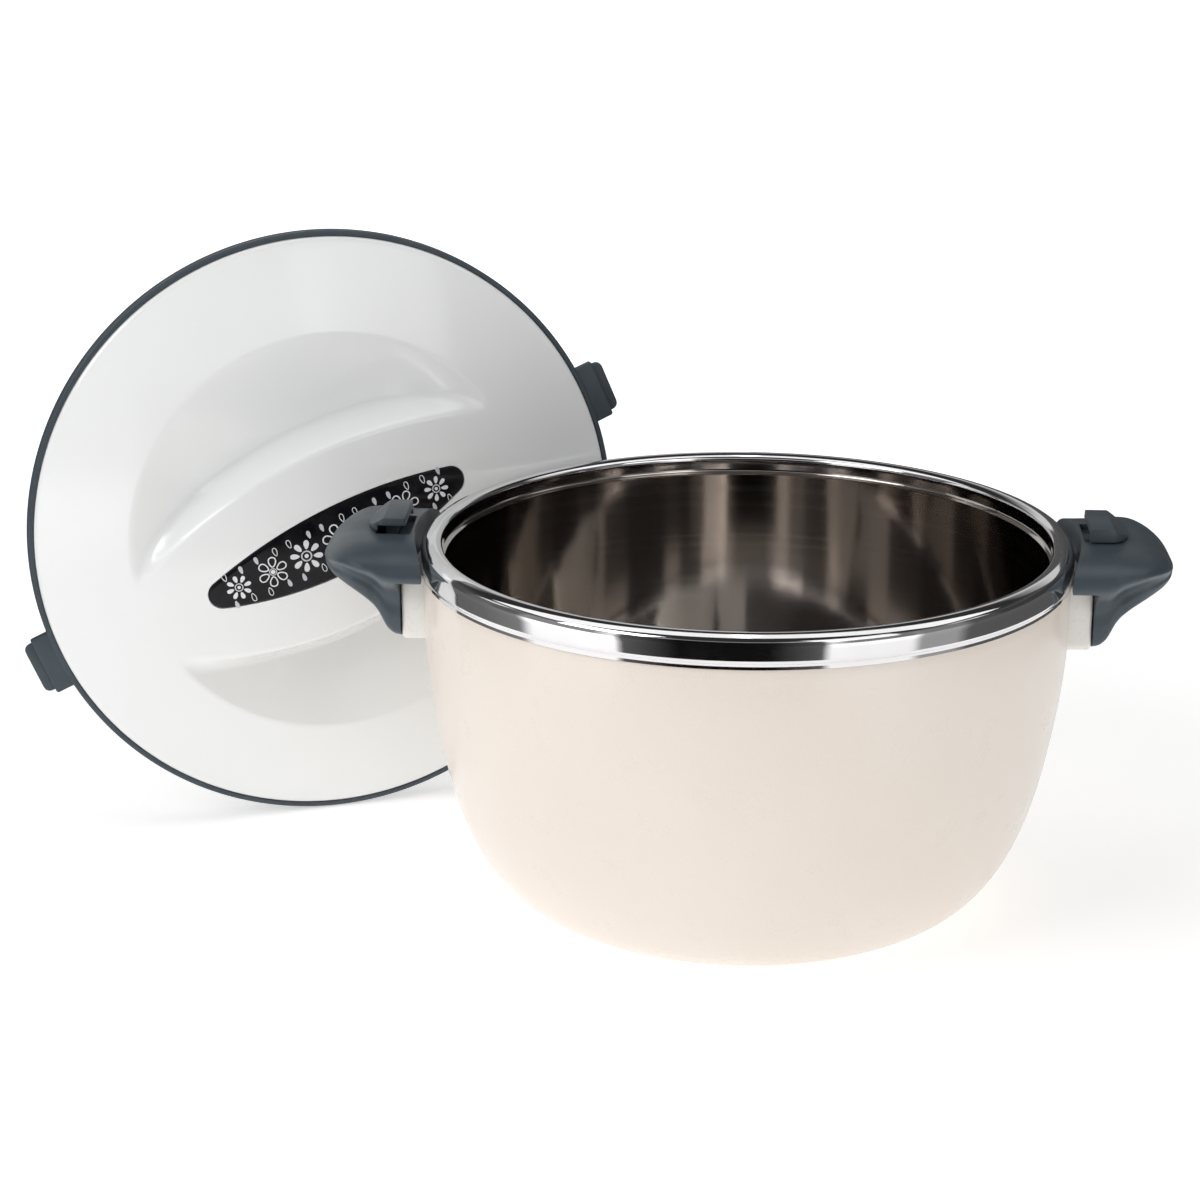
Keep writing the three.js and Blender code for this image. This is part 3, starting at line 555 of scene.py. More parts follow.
def silicone():
    look = Look("silicone", (0.11, 0.13, 0.14), 0.55, Subsurface_Weight=0.05)
    tints = (0.12, 0.14, 0.15), (0.095, 0.112, 0.122)
    return look.mottled(tints, (150, 4), (0.48, 0.62), (300, 4), (1500, 3), 0.00001)



def foam():
    look = Look("foam", (0.78, 0.68, 0.44), 0.95)
    cells = 900, 5
    return look.mottled(((0.82, 0.73, 0.5), (0.7, 0.6, 0.37)), cells, (0.88, 1.0), cells, cells, 0.0003)



def bright_steel(name, color, roughness):
    """Zinc-plated screws and the spring strip."""
    look = Look(name, color, roughness, Metallic=1.0)
    shade = tuple(0.82 * c for c in color)
    glosses = roughness - 0.08, roughness + 0.1
    return look.mottled((color, shade), (800, 4), glosses, (800, 4), (4000, 2), 0.000005)



def nylon():
    look = Look("nylon", (0.15, 0.17, 0.18), 0.55)
    tints = (0.165, 0.185, 0.195), (0.13, 0.15, 0.16)
    return look.mottled(tints, (400, 4), (0.48, 0.62), (400, 4), (1800, 3), 0.00001)



CREAM = pearl_cream()
BRACKET_WHITE = bracket_white()
POLISHED = polished_steel()
LINER = liner_steel()
SLATE = slate_plastic()
WHITE = gloss_white()
BLACK = gloss_black()
INK_WHITE = print_ink("ink_white", (0.85, 0.85, 0.87))
INK_GREY = print_ink("ink_grey", (0.62, 0.61, 0.66))
SILICONE = silicone()
FOAM = foam()
SCREW = bright_steel("screw_steel", (0.5, 0.5, 0.5), 0.34)
SPRING = bright_steel("spring_steel", (0.56, 0.56, 0.56), 0.28)
NYLON = nylon()


# ------------------------------------------------------------------ body
SHELL_ROUNDNESS = 2.39
SHELL_WALL = 2.5
COLLAR_RADIUS = SHELL_RADIUS - 0.4
COLLAR_TOP = shell_high[2]
BASE_REBATE_RADIUS = nearest("outer_shell", BASE_LEVEL)
BASE_REBATE_DEPTH = 3.0
BASE_HOLE_RADIUS = nearest("outer_shell")
BASE_FLANGE_TOP = 6.5
PAD_RISE = 1.3  # how far the shell swells out beside each bracket
PAD_EDGE = 27.0  # where the swelling ends, in degrees from the handles' axis
PAD_FADE = (62.0, 112.0)  # heights between which it fades away downwards

shell_outside = bowl_curve(FOOT_RADIUS, SHELL_RADIUS, 0, SHELL_EDGE, SHELL_ROUNDNESS, 96)


def swollen_beside_brackets(mesh):
    """Moves the shell's outside out beside the brackets."""
    half = math.degrees(math.asin(bracket_high[1] / SHELL_RADIUS))
    co = np.empty(len(mesh.vertices) * 3)
    mesh.vertices.foreach_get("co", co)
    co = co.reshape(-1, 3)
    radius = np.hypot(co[:, 0], co[:, 1])
    outline = np.interp(co[:, 2], shell_outside[:, 1], shell_outside[:, 0])
    outside = (radius > outline - 0.05) & (co[:, 2] > 1) & (co[:, 2] <= SHELL_EDGE + 0.01)
    off_axis = np.degrees(np.arctan2(np.abs(co[:, 1]), np.abs(co[:, 0])))
    rise = PAD_RISE * np.clip((PAD_EDGE - off_axis) / (PAD_EDGE - half), 0, 1)
    rise *= smoothstep(co[:, 2], *PAD_FADE) * outside
    co[:, :2] *= (1 + rise / np.maximum(radius, 1))[:, None]
    mesh.vertices.foreach_set("co", co.ravel())
    return mesh


def outer_shell():
    inside = bowl_curve(FOOT_RADIUS, SHELL_RADIUS - SHELL_WALL, BASE_FLANGE_TOP, SHELL_EDGE,
                        SHELL_ROUNDNESS, 48)
    profile = [
        (BASE_REBATE_RADIUS, 0),
        *shell_outside[:-1],
        (SHELL_RADIUS, SHELL_EDGE - 0.5),
        (SHELL_RADIUS - 0.15, SHELL_EDGE - 0.15),
        (COLLAR_RADIUS, SHELL_EDGE),
        (COLLAR_RADIUS, COLLAR_TOP),
        (SHELL_RADIUS - SHELL_WALL, COLLAR_TOP),
        *inside[::-1],
        (BASE_HOLE_RADIUS, BASE_FLANGE_TOP),
        (BASE_HOLE_RADIUS, BASE_REBATE_DEPTH),
        (BASE_REBATE_RADIUS, BASE_REBATE_DEPTH),
    ]
    return swollen_beside_brackets(turned(profile, 360))


def rim_ring():
    """A rolled channel: upright face with a lip below, shoulder, crest and an inner skirt."""
    face_bottom = RIM_LIP_BOTTOM + 2.6
    crest = RIM_RADIUS - 4.6
    steel = 1.1
    skirt_bottom = RIM_TOP - 6.6
    outer = [
        (RIM_RADIUS - 0.8, RIM_LIP_BOTTOM),
        (RIM_RADIUS - 0.8, face_bottom - 0.6),
        (RIM_RADIUS, face_bottom),
        (RIM_RADIUS, RIM_TOP - 4.2),
        (RIM_RADIUS - 0.5, RIM_TOP - 2.3),
        (RIM_RADIUS - 1.7, RIM_TOP - 1.0),
        (crest + 1.2, RIM_TOP - 0.25),
        (crest, RIM_TOP),
        (crest - 2, RIM_TOP - 0.3),
        (MOUTH_RADIUS + 0.4, RIM_TOP - 1.2),
        (MOUTH_RADIUS, RIM_TOP - 3),
        (MOUTH_RADIUS, skirt_bottom),
    ]
    inner = [
        (MOUTH_RADIUS + steel, skirt_bottom),
        (MOUTH_RADIUS + steel, RIM_TOP - 2.3),
        (crest, RIM_TOP - steel - 0.6),
        (RIM_RADIUS - 2.4, RIM_TOP - steel - 1.2),
        (RIM_RADIUS - 1.2, RIM_TOP - 4.2),
        (RIM_RADIUS - 1.2, face_bottom + 0.5),
        (RIM_RADIUS - 1.9, face_bottom - 0.2),
        (RIM_RADIUS - 1.9, RIM_LIP_BOTTOM),
    ]
    return turned(rounded(outer, 1.3, 7, closed=False) + inner, 384)


LINER_WALL = 1.2
LINER_ROUNDNESS = 2.55
LINER_FLOOR_RADIUS = 66.0
LINER_RADIUS = 120.6
LINER_STEP = 142.0  # height where the liner widens into its neck
FLOOR_BEAD_RADIUS = LINER_FLOOR_RADIUS - 12  # middle of a shallow ring pressed into the floor
FLOOR_BEAD_HALF_WIDTH = 4.0
FLOOR_BEAD_RISE = 1.4


def liner_bowl():
    top = liner_high[2]
    flange = reach("liner_bowl")
    floor = liner_low[2] + LINER_WALL
    neck = LINER_RADIUS + 2.2
    inside = bowl_curve(LINER_FLOOR_RADIUS, LINER_RADIUS, floor, LINER_STEP, LINER_ROUNDNESS, 96)
    outside = bowl_curve(LINER_FLOOR_RADIUS, LINER_RADIUS + LINER_WALL, liner_low[2], LINER_STEP,
                         LINER_ROUNDNESS, 48)
    return turned([
        (0, floor),
        (FLOOR_BEAD_RADIUS - FLOOR_BEAD_HALF_WIDTH, floor),
        *[(FLOOR_BEAD_RADIUS + FLOOR_BEAD_HALF_WIDTH * math.cos(a),
           floor + FLOOR_BEAD_RISE * math.sin(a) ** 2)
          for a in np.linspace(math.pi, 0, 13)],
        *inside,
        (neck - 0.4, LINER_STEP + 0.6),
        (neck, LINER_STEP + 1.4),
        (neck, top),
        (flange, top),
        (flange, top - LINER_WALL),
        (neck + LINER_WALL, top - LINER_WALL),
        (neck + LINER_WALL, LINER_STEP),
        *outside[::-1],
        (0, liner_low[2]),
    ], 384)


SCREW_HEAD_RADIUS = 3.1
SCREW_SHANK_RADIUS = 1.5
SCREW_HEAD_HEIGHT = 1.0
CROSS_REACH = 1.7
CROSS_HALF_WIDTH = 0.35


def base_screw_places():
    places = []
    for i in (1, 2, 3):
        low, high = span(f"base_screw_{i}")
        places.append(((low[0] + high[0]) / 2, (low[1] + high[1]) / 2))
    return places


def base_cover():
    """The round plate that closes the base, with two ribs and three sunk screw holes."""
    top = BASE_REBATE_DEPTH - FIT
    edge = cover_high[0]
    hub = BASE_HOLE_RADIUS - FIT
    ribs = [(r + dr, h) for r in (18, 30) for dr, h in ((-1.2, 0), (-0.6, 0.5), (0.6, 0.5), (1.2, 0))]
    plate = turned([
        (0, 0),
        *ribs,
        (edge - 0.6, 0),
        (edge, 0.6),
        (edge, top),
        (hub, top),
        (hub, cover_high[2]),
        (hub - 2, cover_high[2]),
        (hub - 2, top),
        (0, top),
    ])
    wells = []
    for x, y in base_screw_places():
        wells.append(moved(drum(SCREW_HEAD_RADIUS + 0.5, -1, 1.5, 48), Matrix.Translation((x, y, 0))))
        wells.append(moved(drum(SCREW_SHANK_RADIUS + FIT, 1, 4, 32), Matrix.Translation((x, y, 0))))
    return combined(plate, wells)


def base_screw(x, y, low, high):
    """A pan-head screw with a cross recess in its underside."""
    head, shank, head_top = SCREW_HEAD_RADIUS, SCREW_SHANK_RADIUS, low + SCREW_HEAD_HEIGHT
    profile = rounded([(0, low), (head * 0.8, low), (head, low + 0.5), (head, head_top),
                       (shank, head_top), (shank, high - shank), (0, high)], 0.35, 4, closed=False)
    body = turned(profile, 48)
    long_way, short_way = (-CROSS_REACH, CROSS_REACH), (-CROSS_HALF_WIDTH, CROSS_HALF_WIDTH)
    depth = (low - 1, low + 0.7)
    recess = [block(long_way, short_way, depth), block(short_way, long_way, depth)]
    return moved(combined(body, recess), Matrix.Translation((x, y, 0)))


add_piece("shell_skin", outer_shell(), "pot", CREAM, ["outer_shell"], sharp=40)
add_piece("rim_skin", rim_ring(), "pot", POLISHED, ["rim_ring"], sharp=50)
add_piece("liner_skin", liner_bowl(), "pot", LINER, ["liner_bowl"], sharp=50)
add_piece("base_plate", base_cover(), "pot", CREAM, ["base_cover"])
for number, (screw_x, screw_y) in enumerate(base_screw_places(), 1):
    screw_low, screw_high = span(f"base_screw_{number}")
    screw_shape = base_screw(screw_x, screw_y, screw_low[2], screw_high[2])
    add_piece(f"base_screw_head_{number}", screw_shape, "pot", SCREW, [f"base_screw_{number}"])


# ------------------------------------------------------------------ handles, built on +X
HANDLE_HALF_WIDTH = 40.0
HANDLE_NECK_HALF_WIDTH = 23.4
HANDLE_TIP_HEIGHT = 142.4
HANDLE_ROUND_START = 147.6  # from here out the handle narrows to its tip
HANDLE_SPLIT = bracket_high[2] + FIT
HANDLE_FACE = BRACKET_REACH + FIT
RIM_GAP_RADIUS = RIM_RADIUS + 2.3
MECHANISM_FLOOR = 133.0
MECHANISM_ROOF = 147.0
SCREW_ROOM = ((HANDLE_FACE - 1, 144.5), (-12, 12), (123, MECHANISM_FLOOR + 1))  # reaches the latch's screw
SPRING_ROOM = ((137.6, 152.5), (-11, 11), (MECHANISM_FLOOR, MECHANISM_ROOF))
SCREW_HOLE_RADIUS = 2.4
SCREW_HOLE_END = 146.4
BRACKET_ROOT = 112.0  # inside the shell, where the bracket's blank starts
BRACKET_CHAMFER = 2.4
BRACKET_EDGE_ROUND = 1.3
BRACKET_BITE = 0.3  # how far the bracket reaches into the shell's skin, so no gap shows
SLOT = (138.6, 150.4)
SLOT_HALF_WIDTH = 6.4
POCKET = ((133.4, 147.2), (-11.4, 14.7))  # the sunk place that the latch stands over
POCKET_FLOOR = 150.2

HANDLE_TOP = spline([(120, 152.6), (133, 152.8), (142, 153), (150, 152.8), (156, 152.2), (162, 149.8),
                     (166.5, 146.5), (HANDLE_REACH, HANDLE_TIP_HEIGHT)])
HANDLE_UNDERSIDE = spline([(120, 111), (136, 110.6), (142, 113.3), (146, 121), (151, 127.2), (158, 133),
                           (164.5, 137.1), (168, 139.4), (HANDLE_REACH, HANDLE_TIP_HEIGHT)])


def handle_section(x, count):
    """Points (y, z) of the section at x, from the middle of the top round one side to the underside."""
    top = np.interp(x, HANDLE_TOP[:, 0], HANDLE_TOP[:, 1])
    drop = top - np.interp(x, HANDLE_UNDERSIDE[:, 0], HANDLE_UNDERSIDE[:, 1])
    past = np.clip((x - HANDLE_ROUND_START) / (HANDLE_REACH - HANDLE_ROUND_START), 0, 1)
    width = HANDLE_HALF_WIDTH * math.sqrt(1 - past**2)
    share = HANDLE_NECK_HALF_WIDTH / HANDLE_HALF_WIDTH
    neck = width * (share + (0.89 - share) * past)
    return spline([
        (0, top),
        (0.42 * width, top - 0.008 * drop),
        (0.72 * width, top - 0.045 * drop),
        (0.92 * width, top - 0.13 * drop),
        (width, top - 0.26 * drop),
        (neck + 0.72 * (width - neck), top - 0.38 * drop),
        (neck + 0.25 * (width - neck), top - 0.5 * drop),
        (neck, top - 0.62 * drop),
        (0.98 * neck, top - 0.79 * drop),
        (0.86 * neck, top - 0.955 * drop),
        (0.45 * neck, top - 0.995 * drop),
        (0, top - drop),
    ], count)


def handle_blank():
    half = 65
    inner_end = 124.0
    stations = inner_end + (HANDLE_REACH - inner_end) * np.sin(np.linspace(0, math.pi / 2, 72))[:-1]
    rows = []
    for x in stations:
        side = handle_section(x, half)
        far_side = side[-2:0:-1] * (-1, 1)
        rows.append([(x, y, z) for y, z in np.concatenate([side, far_side])])
    count = len(rows[0])
    vertices = [p for row in rows for p in row]
    vertices.append((inner_end, 0, (RIM_TOP + bracket_low[2]) / 2))
    vertices.append((HANDLE_REACH, 0, HANDLE_TIP_HEIGHT))
    cap, tip = len(vertices) - 2, len(vertices) - 1
    last = (len(rows) - 1) * count
    faces = []
    for j in range(count):
        k = (j + 1) % count
        for i in range(len(rows) - 1):
            a, b = i * count, (i + 1) * count
            faces.append((a + j, a + k, b + k, b + j))
        faces.append((cap, k, j))
        faces.append((last + j, last + k, tip))
    return fresh_mesh(vertices, faces)


def screw_places():
    low, high = span("handle_screw_right_front")
    height = (low[2] + high[2]) / 2
    return [(sign * (low[1] + high[1]) / 2, height) for sign in (1, -1)]


def handle_grip():
    """The grip, cut clear of the rim and the bracket, with the rooms for the latch and the screws."""
    above, below, beside, within = 160, 90, 60, 110  # all past the grip
    rim_gap = drum(RIM_GAP_RADIUS, HANDLE_SPLIT, above + 10, ROUND)
    cutters = [
        rim_gap,
        block((within, HANDLE_FACE), (-beside, beside), (below, HANDLE_SPLIT)),
        block(*SCREW_ROOM),
        block(*SPRING_ROOM),
        block(SLOT, (-SLOT_HALF_WIDTH, SLOT_HALF_WIDTH), (MECHANISM_ROOF - 1, above)),
        block(*POCKET, (POCKET_FLOOR, above)),
    ]
    cutters += [rod_along_x(SCREW_HOLE_RADIUS, BRACKET_REACH - 1, SCREW_HOLE_END, y, z)
                for y, z in screw_places()]
    return combined(handle_blank(), cutters)


def handle_bracket():
    """A block with cut corners between the shell and the handle, shaped to the bowl behind it."""
    half, low, high = bracket_high[1], bracket_low[2], bracket_high[2]
    flat, level = half - BRACKET_CHAMFER, (low + BRACKET_CHAMFER, high - BRACKET_CHAMFER)
    outline = [(-flat, low), (flat, low), (half, level[0]), (half, level[1]),
               (flat, high), (-flat, high), (-half, level[1]), (-half, level[0])]
    blank = bevelled(prism(outline, BRACKET_ROOT, BRACKET_REACH, along="x"), BRACKET_EDGE_ROUND, segments=4)
    sunk = [(max(r - BRACKET_BITE, 0), z) for r, z in shell_outside[::4]]
    edge = SHELL_RADIUS - BRACKET_BITE
    shell_space = turned([(0, -1), (sunk[0][0], -1), *sunk, (edge, RIM_TOP), (0, RIM_TOP)])
    rim_space = drum(RIM_RADIUS + FIT, RIM_LIP_BOTTOM - FIT, RIM_TOP, ROUND)
    holes = [rod_along_x(SCREW_HOLE_RADIUS, BRACKET_ROOT - 2, BRACKET_REACH + 1, y, z)
             for y, z in screw_places()]
    return combined(blank, [shell_space, rim_space, *holes])


# ------------------------------------------------------------------ latches, built on +X, shut
LATCH_INNER = latch_low[0]
LATCH_OUTER = latch_high[0]
LATCH_TOP = latch_high[2]
LATCH_HALF_WIDTH = latch_high[1]
LATCH_UNDERSIDE = 153.4
HOOK_UNDERSIDE = 155.8
LATCH_SLOPE = 7.0  # how far back from its outer end the top starts to fall
LATCH_WALL = 2.0  # of the one closed side under the cap
LATCH_END_WALL = 4.5
LATCH_EDGE_ROUND = 0.35
STEM = ((139, 144), (-6, 6))
PILOT_RADIUS = 1.5  # hole in the stem for its screw
PILOT_TOP = 151.5


def latch_slider():
    """A cap with a round outer end, open underneath towards the rim and one side, on a square stem."""
    middle = LATCH_OUTER - LATCH_SLOPE
    side = [(LATCH_INNER, LATCH_UNDERSIDE), (LATCH_OUTER, LATCH_UNDERSIDE),
            (LATCH_OUTER, LATCH_UNDERSIDE + 0.9), (middle, LATCH_TOP), (LATCH_INNER + 0.4, LATCH_TOP)]
    end = [(middle + LATCH_SLOPE * math.cos(a), LATCH_HALF_WIDTH * math.sin(a))
           for a in np.linspace(-math.pi / 2, math.pi / 2, 25)]
    plan = [(LATCH_INNER - 1, -LATCH_HALF_WIDTH), *end, (LATCH_INNER - 1, LATCH_HALF_WIDTH)]
    side_view = prism(side, -20, 20, along="y")
    cap = combined(side_view, [prism(plan, 150, 165)], "INTERSECT")
    hollow = block((LATCH_INNER - 1, LATCH_OUTER - LATCH_END_WALL),
                   (-LATCH_HALF_WIDTH + LATCH_WALL, LATCH_HALF_WIDTH + 1),
                   (LATCH_UNDERSIDE - 1, HOOK_UNDERSIDE))
    cap = bevelled(combined(cap, [hollow]), LATCH_EDGE_ROUND, angle=25, segments=3)
    stem = block(*STEM, (latch_low[2], HOOK_UNDERSIDE + 1))
    pilot = drum(PILOT_RADIUS, latch_low[2] - 1, PILOT_TOP, 24)
    pilot = moved(pilot, Matrix.Translation(((STEM[0][0] + STEM[0][1]) / 2, 0, 0)))
    return combined(combined(cap, [stem], "UNION"), [pilot])


def fitted(name, shape, body, look, node, turn):
    """Adds a copy of a shape built on +X, turned about Z to its own side of the pot."""
    add_piece(name, moved(shape.copy(), Matrix.Rotation(turn, 4, "Z")), body, look, [node], sharp=30)


grip, bracket, slider = handle_grip(), handle_bracket(), latch_slider()
for side, turn in (("right", 0.0), ("left", math.pi)):
    fitted(f"grip_{side}", grip, "pot", SLATE, f"handle_grip_{side}", turn)
    fitted(f"bracket_{side}", bracket, "pot", BRACKET_WHITE, f"handle_bracket_{side}",
           turn)
    fitted(f"latch_{side}", slider, f"latch_{side}", SLATE, f"latch_slider_{side}",
           turn)


# ------------------------------------------------------------------ lid, in its own axes
RIDGE_HALF_WIDTH = 37.4
RIDGE_EDGE_RADIUS = 181.0
SCOOP_RADIUS = 86.0
SCOOP_DEPTH = 20.0
SCOOP_WALL = 10.0  # how far the ridge's flank slopes
SCOOP_FULL_SPAN = 35.0  # where a scoop is narrower than this, it is shallower too
INLAY_HALF_LENGTH = np.abs(in_lid("lid_inlay")[:, 0]).max()
INLAY_HALF_WIDTH = np.abs(in_lid("lid_inlay")[:, 1]).max()
INLAY_END_RADIUS = 6.0
INLAY_THICKNESS = 1.0

DOME_RADIUS = (LID_COVER_RADIUS**2 + LID_CROWN**2) / (2 * LID_CROWN)


def dome_height(radius):
    return LID_EDGE_HEIGHT + LID_CROWN - (DOME_RADIUS - np.sqrt(DOME_RADIUS**2 - radius**2))


def scoop_depth(x, y):
    """Depth of the two finger scoops below the dome."""
    bow = np.sqrt(RIDGE_EDGE_RADIUS**2 - np.minimum(x**2, SCOOP_RADIUS**2))
    edge = bow - RIDGE_EDGE_RADIUS + RIDGE_HALF_WIDTH
    from_ridge = np.abs(y) - edge
    from_round = SCOOP_RADIUS - np.hypot(x, y)
    inside = (from_ridge > 0) & (from_round > 0)
    across = np.where(inside, from_ridge + from_round, 1)
    flank = smoothstep(from_ridge, 0, SCOOP_WALL)
    depth = SCOOP_DEPTH * flank * from_round / across * np.minimum(1, across / SCOOP_FULL_SPAN)
    return np.where(inside, depth, 0)


def lens_outline(half_length, half_width, end_radius, steps=24):
    """A pointed oval with round ends, as (x, y) points."""
    length, rise = half_length - end_radius, half_width - end_radius
    bow = (length**2 + rise**2) / (2 * rise)
    spread = math.atan2(length, bow - rise)
    up, down = math.pi / 2, 3 * math.pi / 2
    arcs = [
        ((0, rise - bow), bow + end_radius, up - spread, up + spread, 2 * steps),
        ((-length, 0), end_radius, up + spread, down - spread, steps),
        ((0, bow - rise), bow + end_radius, down - spread, down + spread, 2 * steps),
        ((length, 0), end_radius, spread - up, up - spread, steps),
    ]
    points = []
    for (cx, cy), radius, start, end, count in arcs:
        for a in np.linspace(start, end, count, endpoint=False):
            points.append((cx + radius * math.cos(a), cy + radius * math.sin(a)))
    return np.array(points)


def lid_cover():
    """The domed cover with its grip ridge between two finger scoops."""
    edge, wall, middle = LID_COVER_RADIUS, LID_COVER_WALL, dome_height(0)
    bottom = LID_EDGE_HEIGHT - 3
    rings = [*np.linspace(0, SCOOP_RADIUS, 87)[1:], *np.linspace(SCOOP_RADIUS, edge - 2, 20)[1:]]
    crown = [(r, dome_height(r)) for r in rings]
    lip = [(edge - 1, dome_height(edge - 1) - 0.05), (edge - 0.3, LID_EDGE_HEIGHT - 0.3),
           (edge, LID_EDGE_HEIGHT - 1), (edge, bottom), (edge - wall, bottom)]
    under = [(r, dome_height(r) - wall) for r in rings[::3] if r < edge - wall - 1]
    mesh = turned([(0, middle), *crown, *lip, *under[::-1], (0, middle - wall)], 360)
    co = np.empty(len(mesh.vertices) * 3)
    mesh.vertices.foreach_get("co", co)
    co = co.reshape(-1, 3)
    co[:, 2] -= scoop_depth(co[:, 0], co[:, 1])
    mesh.vertices.foreach_set("co", co.ravel())
    return combined(mesh, [inlay_shape(FIT, INLAY_THICKNESS + FIT, rise=3)])


def inlay_shape(grow, depth, rise=0.0, edge=0.0):
    """The lens between `depth` under the dome and `rise` over it, with its top edge eased by `edge`."""
    outline = lens_outline(INLAY_HALF_LENGTH + grow, INLAY_HALF_WIDTH + grow, INLAY_END_RADIUS + grow)
    inward = -outline_normals(outline)
    rows, drops = [outline], [0]
    if edge:
        easing = np.linspace(0, math.pi / 2, 4)
        rows = [outline + inward * edge * (1 - math.cos(a)) for a in easing]
        drops = [edge * (1 - math.sin(a)) for a in easing]
    for share in (0.9, 0.75, 0.6, 0.45, 0.3, 0.15):
        rows.append(rows[0] * share)
        drops.append(0)
    vertices = [(x, y, dome_height(math.hypot(x, y)) - depth) for x, y in outline]
    for row, drop in zip(rows, drops):
        vertices += [(x, y, dome_height(math.hypot(x, y)) + rise - drop) for x, y in row]
    count = len(outline)
    vertices += [(0, 0, dome_height(0) - depth), (0, 0, dome_height(0) + rise)]
    bottom, top = len(vertices) - 2, len(vertices) - 1
    faces = []
    for j in range(count):
        k = (j + 1) % count
        for low in range(0, len(rows) * count, count):
            faces.append((low + j, low + k, low + count + k, low + count + j))
        faces.append((len(rows) * count + j, len(rows) * count + k, top))
        faces.append((k, j, bottom))
    return fresh_mesh(vertices, faces)


def outline_normals(outline):
    """Unit vectors pointing out of a closed outline that runs anticlockwise."""
    ahead = np.roll(outline, -1, axis=0) - np.roll(outline, 1, axis=0)
    ahead /= np.linalg.norm(ahead, axis=1)[:, None]
    return np.column_stack([ahead[:, 1], -ahead[:, 0]])


RING_SHELF = 3.4
RING_INNER = 118.0
LUG_HALF_WIDTH = 13.0
LUG_LEDGE_RADIUS = 134.6
LUG_LEDGE_HALF_WIDTH = 11.4
LUG_BOTTOM = 2.4
LUG_HEIGHT = 6.0
LUG_LEDGE_HEIGHT = 4.4


def lug_step(root, reach, half, corner, height):
    """One step of a lug, from inside the ring out to `reach`, with round corners."""
    outline = [(root, -half), (reach, -half), (reach, half), (root, half)]
    return prism(rounded(outline, corner, 8), LUG_BOTTOM, height)


def lid_ring():
    """The dark ring with a groove round its edge and two stepped lugs."""
    seat = LID_COVER_RADIUS + 0.2
    body = turned(rounded([
        (RING_INNER, 0), (LID_RADIUS - 0.6, 0), (LID_RADIUS, 0.8),
        (LID_RADIUS, 2.8), (LID_RADIUS - 0.7, 3.3), (LID_RADIUS, 3.8),
        (LID_RADIUS, LID_RING_HEIGHT - 0.5), (LID_RADIUS - 0.5, LID_RING_HEIGHT),
        (seat, LID_RING_HEIGHT), (seat, RING_SHELF), (RING_INNER, RING_SHELF),
    ], 0.25, 3), 360)
    root = LID_RADIUS - 1.5  # the lugs start inside the ring
    ledge = bevelled(lug_step(root, LUG_REACH, LUG_LEDGE_HALF_WIDTH, 3.4, LUG_LEDGE_HEIGHT), 0.4)
    step = bevelled(lug_step(root, LUG_LEDGE_RADIUS, LUG_HALF_WIDTH, 1.2, LUG_HEIGHT), 0.5)
    lugs = []
    for turn in (0, math.pi):
        for part in (ledge, step):
            lugs.append(moved(part.copy(), Matrix.Rotation(turn, 4, "Z")))
    return combined(body, lugs, "UNION")


def lid_seal():
    """A ring on the pan's wall with a thin lip that reaches out to the rim's mouth."""
    wall, lip = RING_INNER + 0.3, MOUTH_RADIUS - 0.6
    return turned(rounded([
        (wall, -0.4), (wall, -4.6), (wall + 1.1, -4.6),
        (lip, -3.2), (lip, -2.2), (wall + 1.5, -2), (wall + 1.5, -0.4),
    ], 0.3, 3), ROUND)


PAN_FLOOR = -7.0
PAN_WALL = 1.0
PAN_STEP_RADIUS = 74.0
PAN_STEP = 1.2


def lid_pan():
    """A shallow steel pan with a rounded rim and a step pressed into its floor."""
    radius, low, high = RING_INNER - FIT, PAN_FLOOR, PAN_FLOOR + PAN_STEP
    outside = rounded([(0, low), (PAN_STEP_RADIUS - 4, low), (PAN_STEP_RADIUS, high), (radius - 12, high),
                       (radius - 9, low), (radius - 6, low), (radius, low + 4), (radius, RING_SHELF)],
                      3, 6, closed=False)
    low, high = low + PAN_WALL, high + PAN_WALL
    inside = [(radius - PAN_WALL, RING_SHELF), (radius - PAN_WALL, low + 3.6), (radius - 6.6, low),
              (radius - 8.4, low), (radius - 12, high), (PAN_STEP_RADIUS, high),
              (PAN_STEP_RADIUS - 4.6, low), (0, low)]
    return turned(outside + inside, ROUND)


def add_lid(name, mesh, look, nodes=(), sharp=32):
    """Puts a mesh made in the lid's own axes where the lid stands."""
    return add_piece(name, moved(mesh, LID_PLACE.tolist()), "lid", look, nodes, sharp)


add_lid("lid_dome", lid_cover(), WHITE, ["lid_cover"], sharp=50)
add_lid("inlay_plate", inlay_shape(0, INLAY_THICKNESS, rise=0.05, edge=0.4), BLACK,
        ["lid_inlay"], sharp=50)
add_lid("lid_band", lid_ring(), SLATE, ["lid_ring"])
add_lid("seal_ring", lid_seal(), SILICONE, ["lid_seal"])
add_lid("lid_pan", lid_pan(), LINER, ["lid_inner_pan"])


# ------------------------------------------------------------------ flower print on the inlay
PRINT_LIFT = 0.06  # the print stands this far over the inlay
PRINT_THICKNESS = 0.05


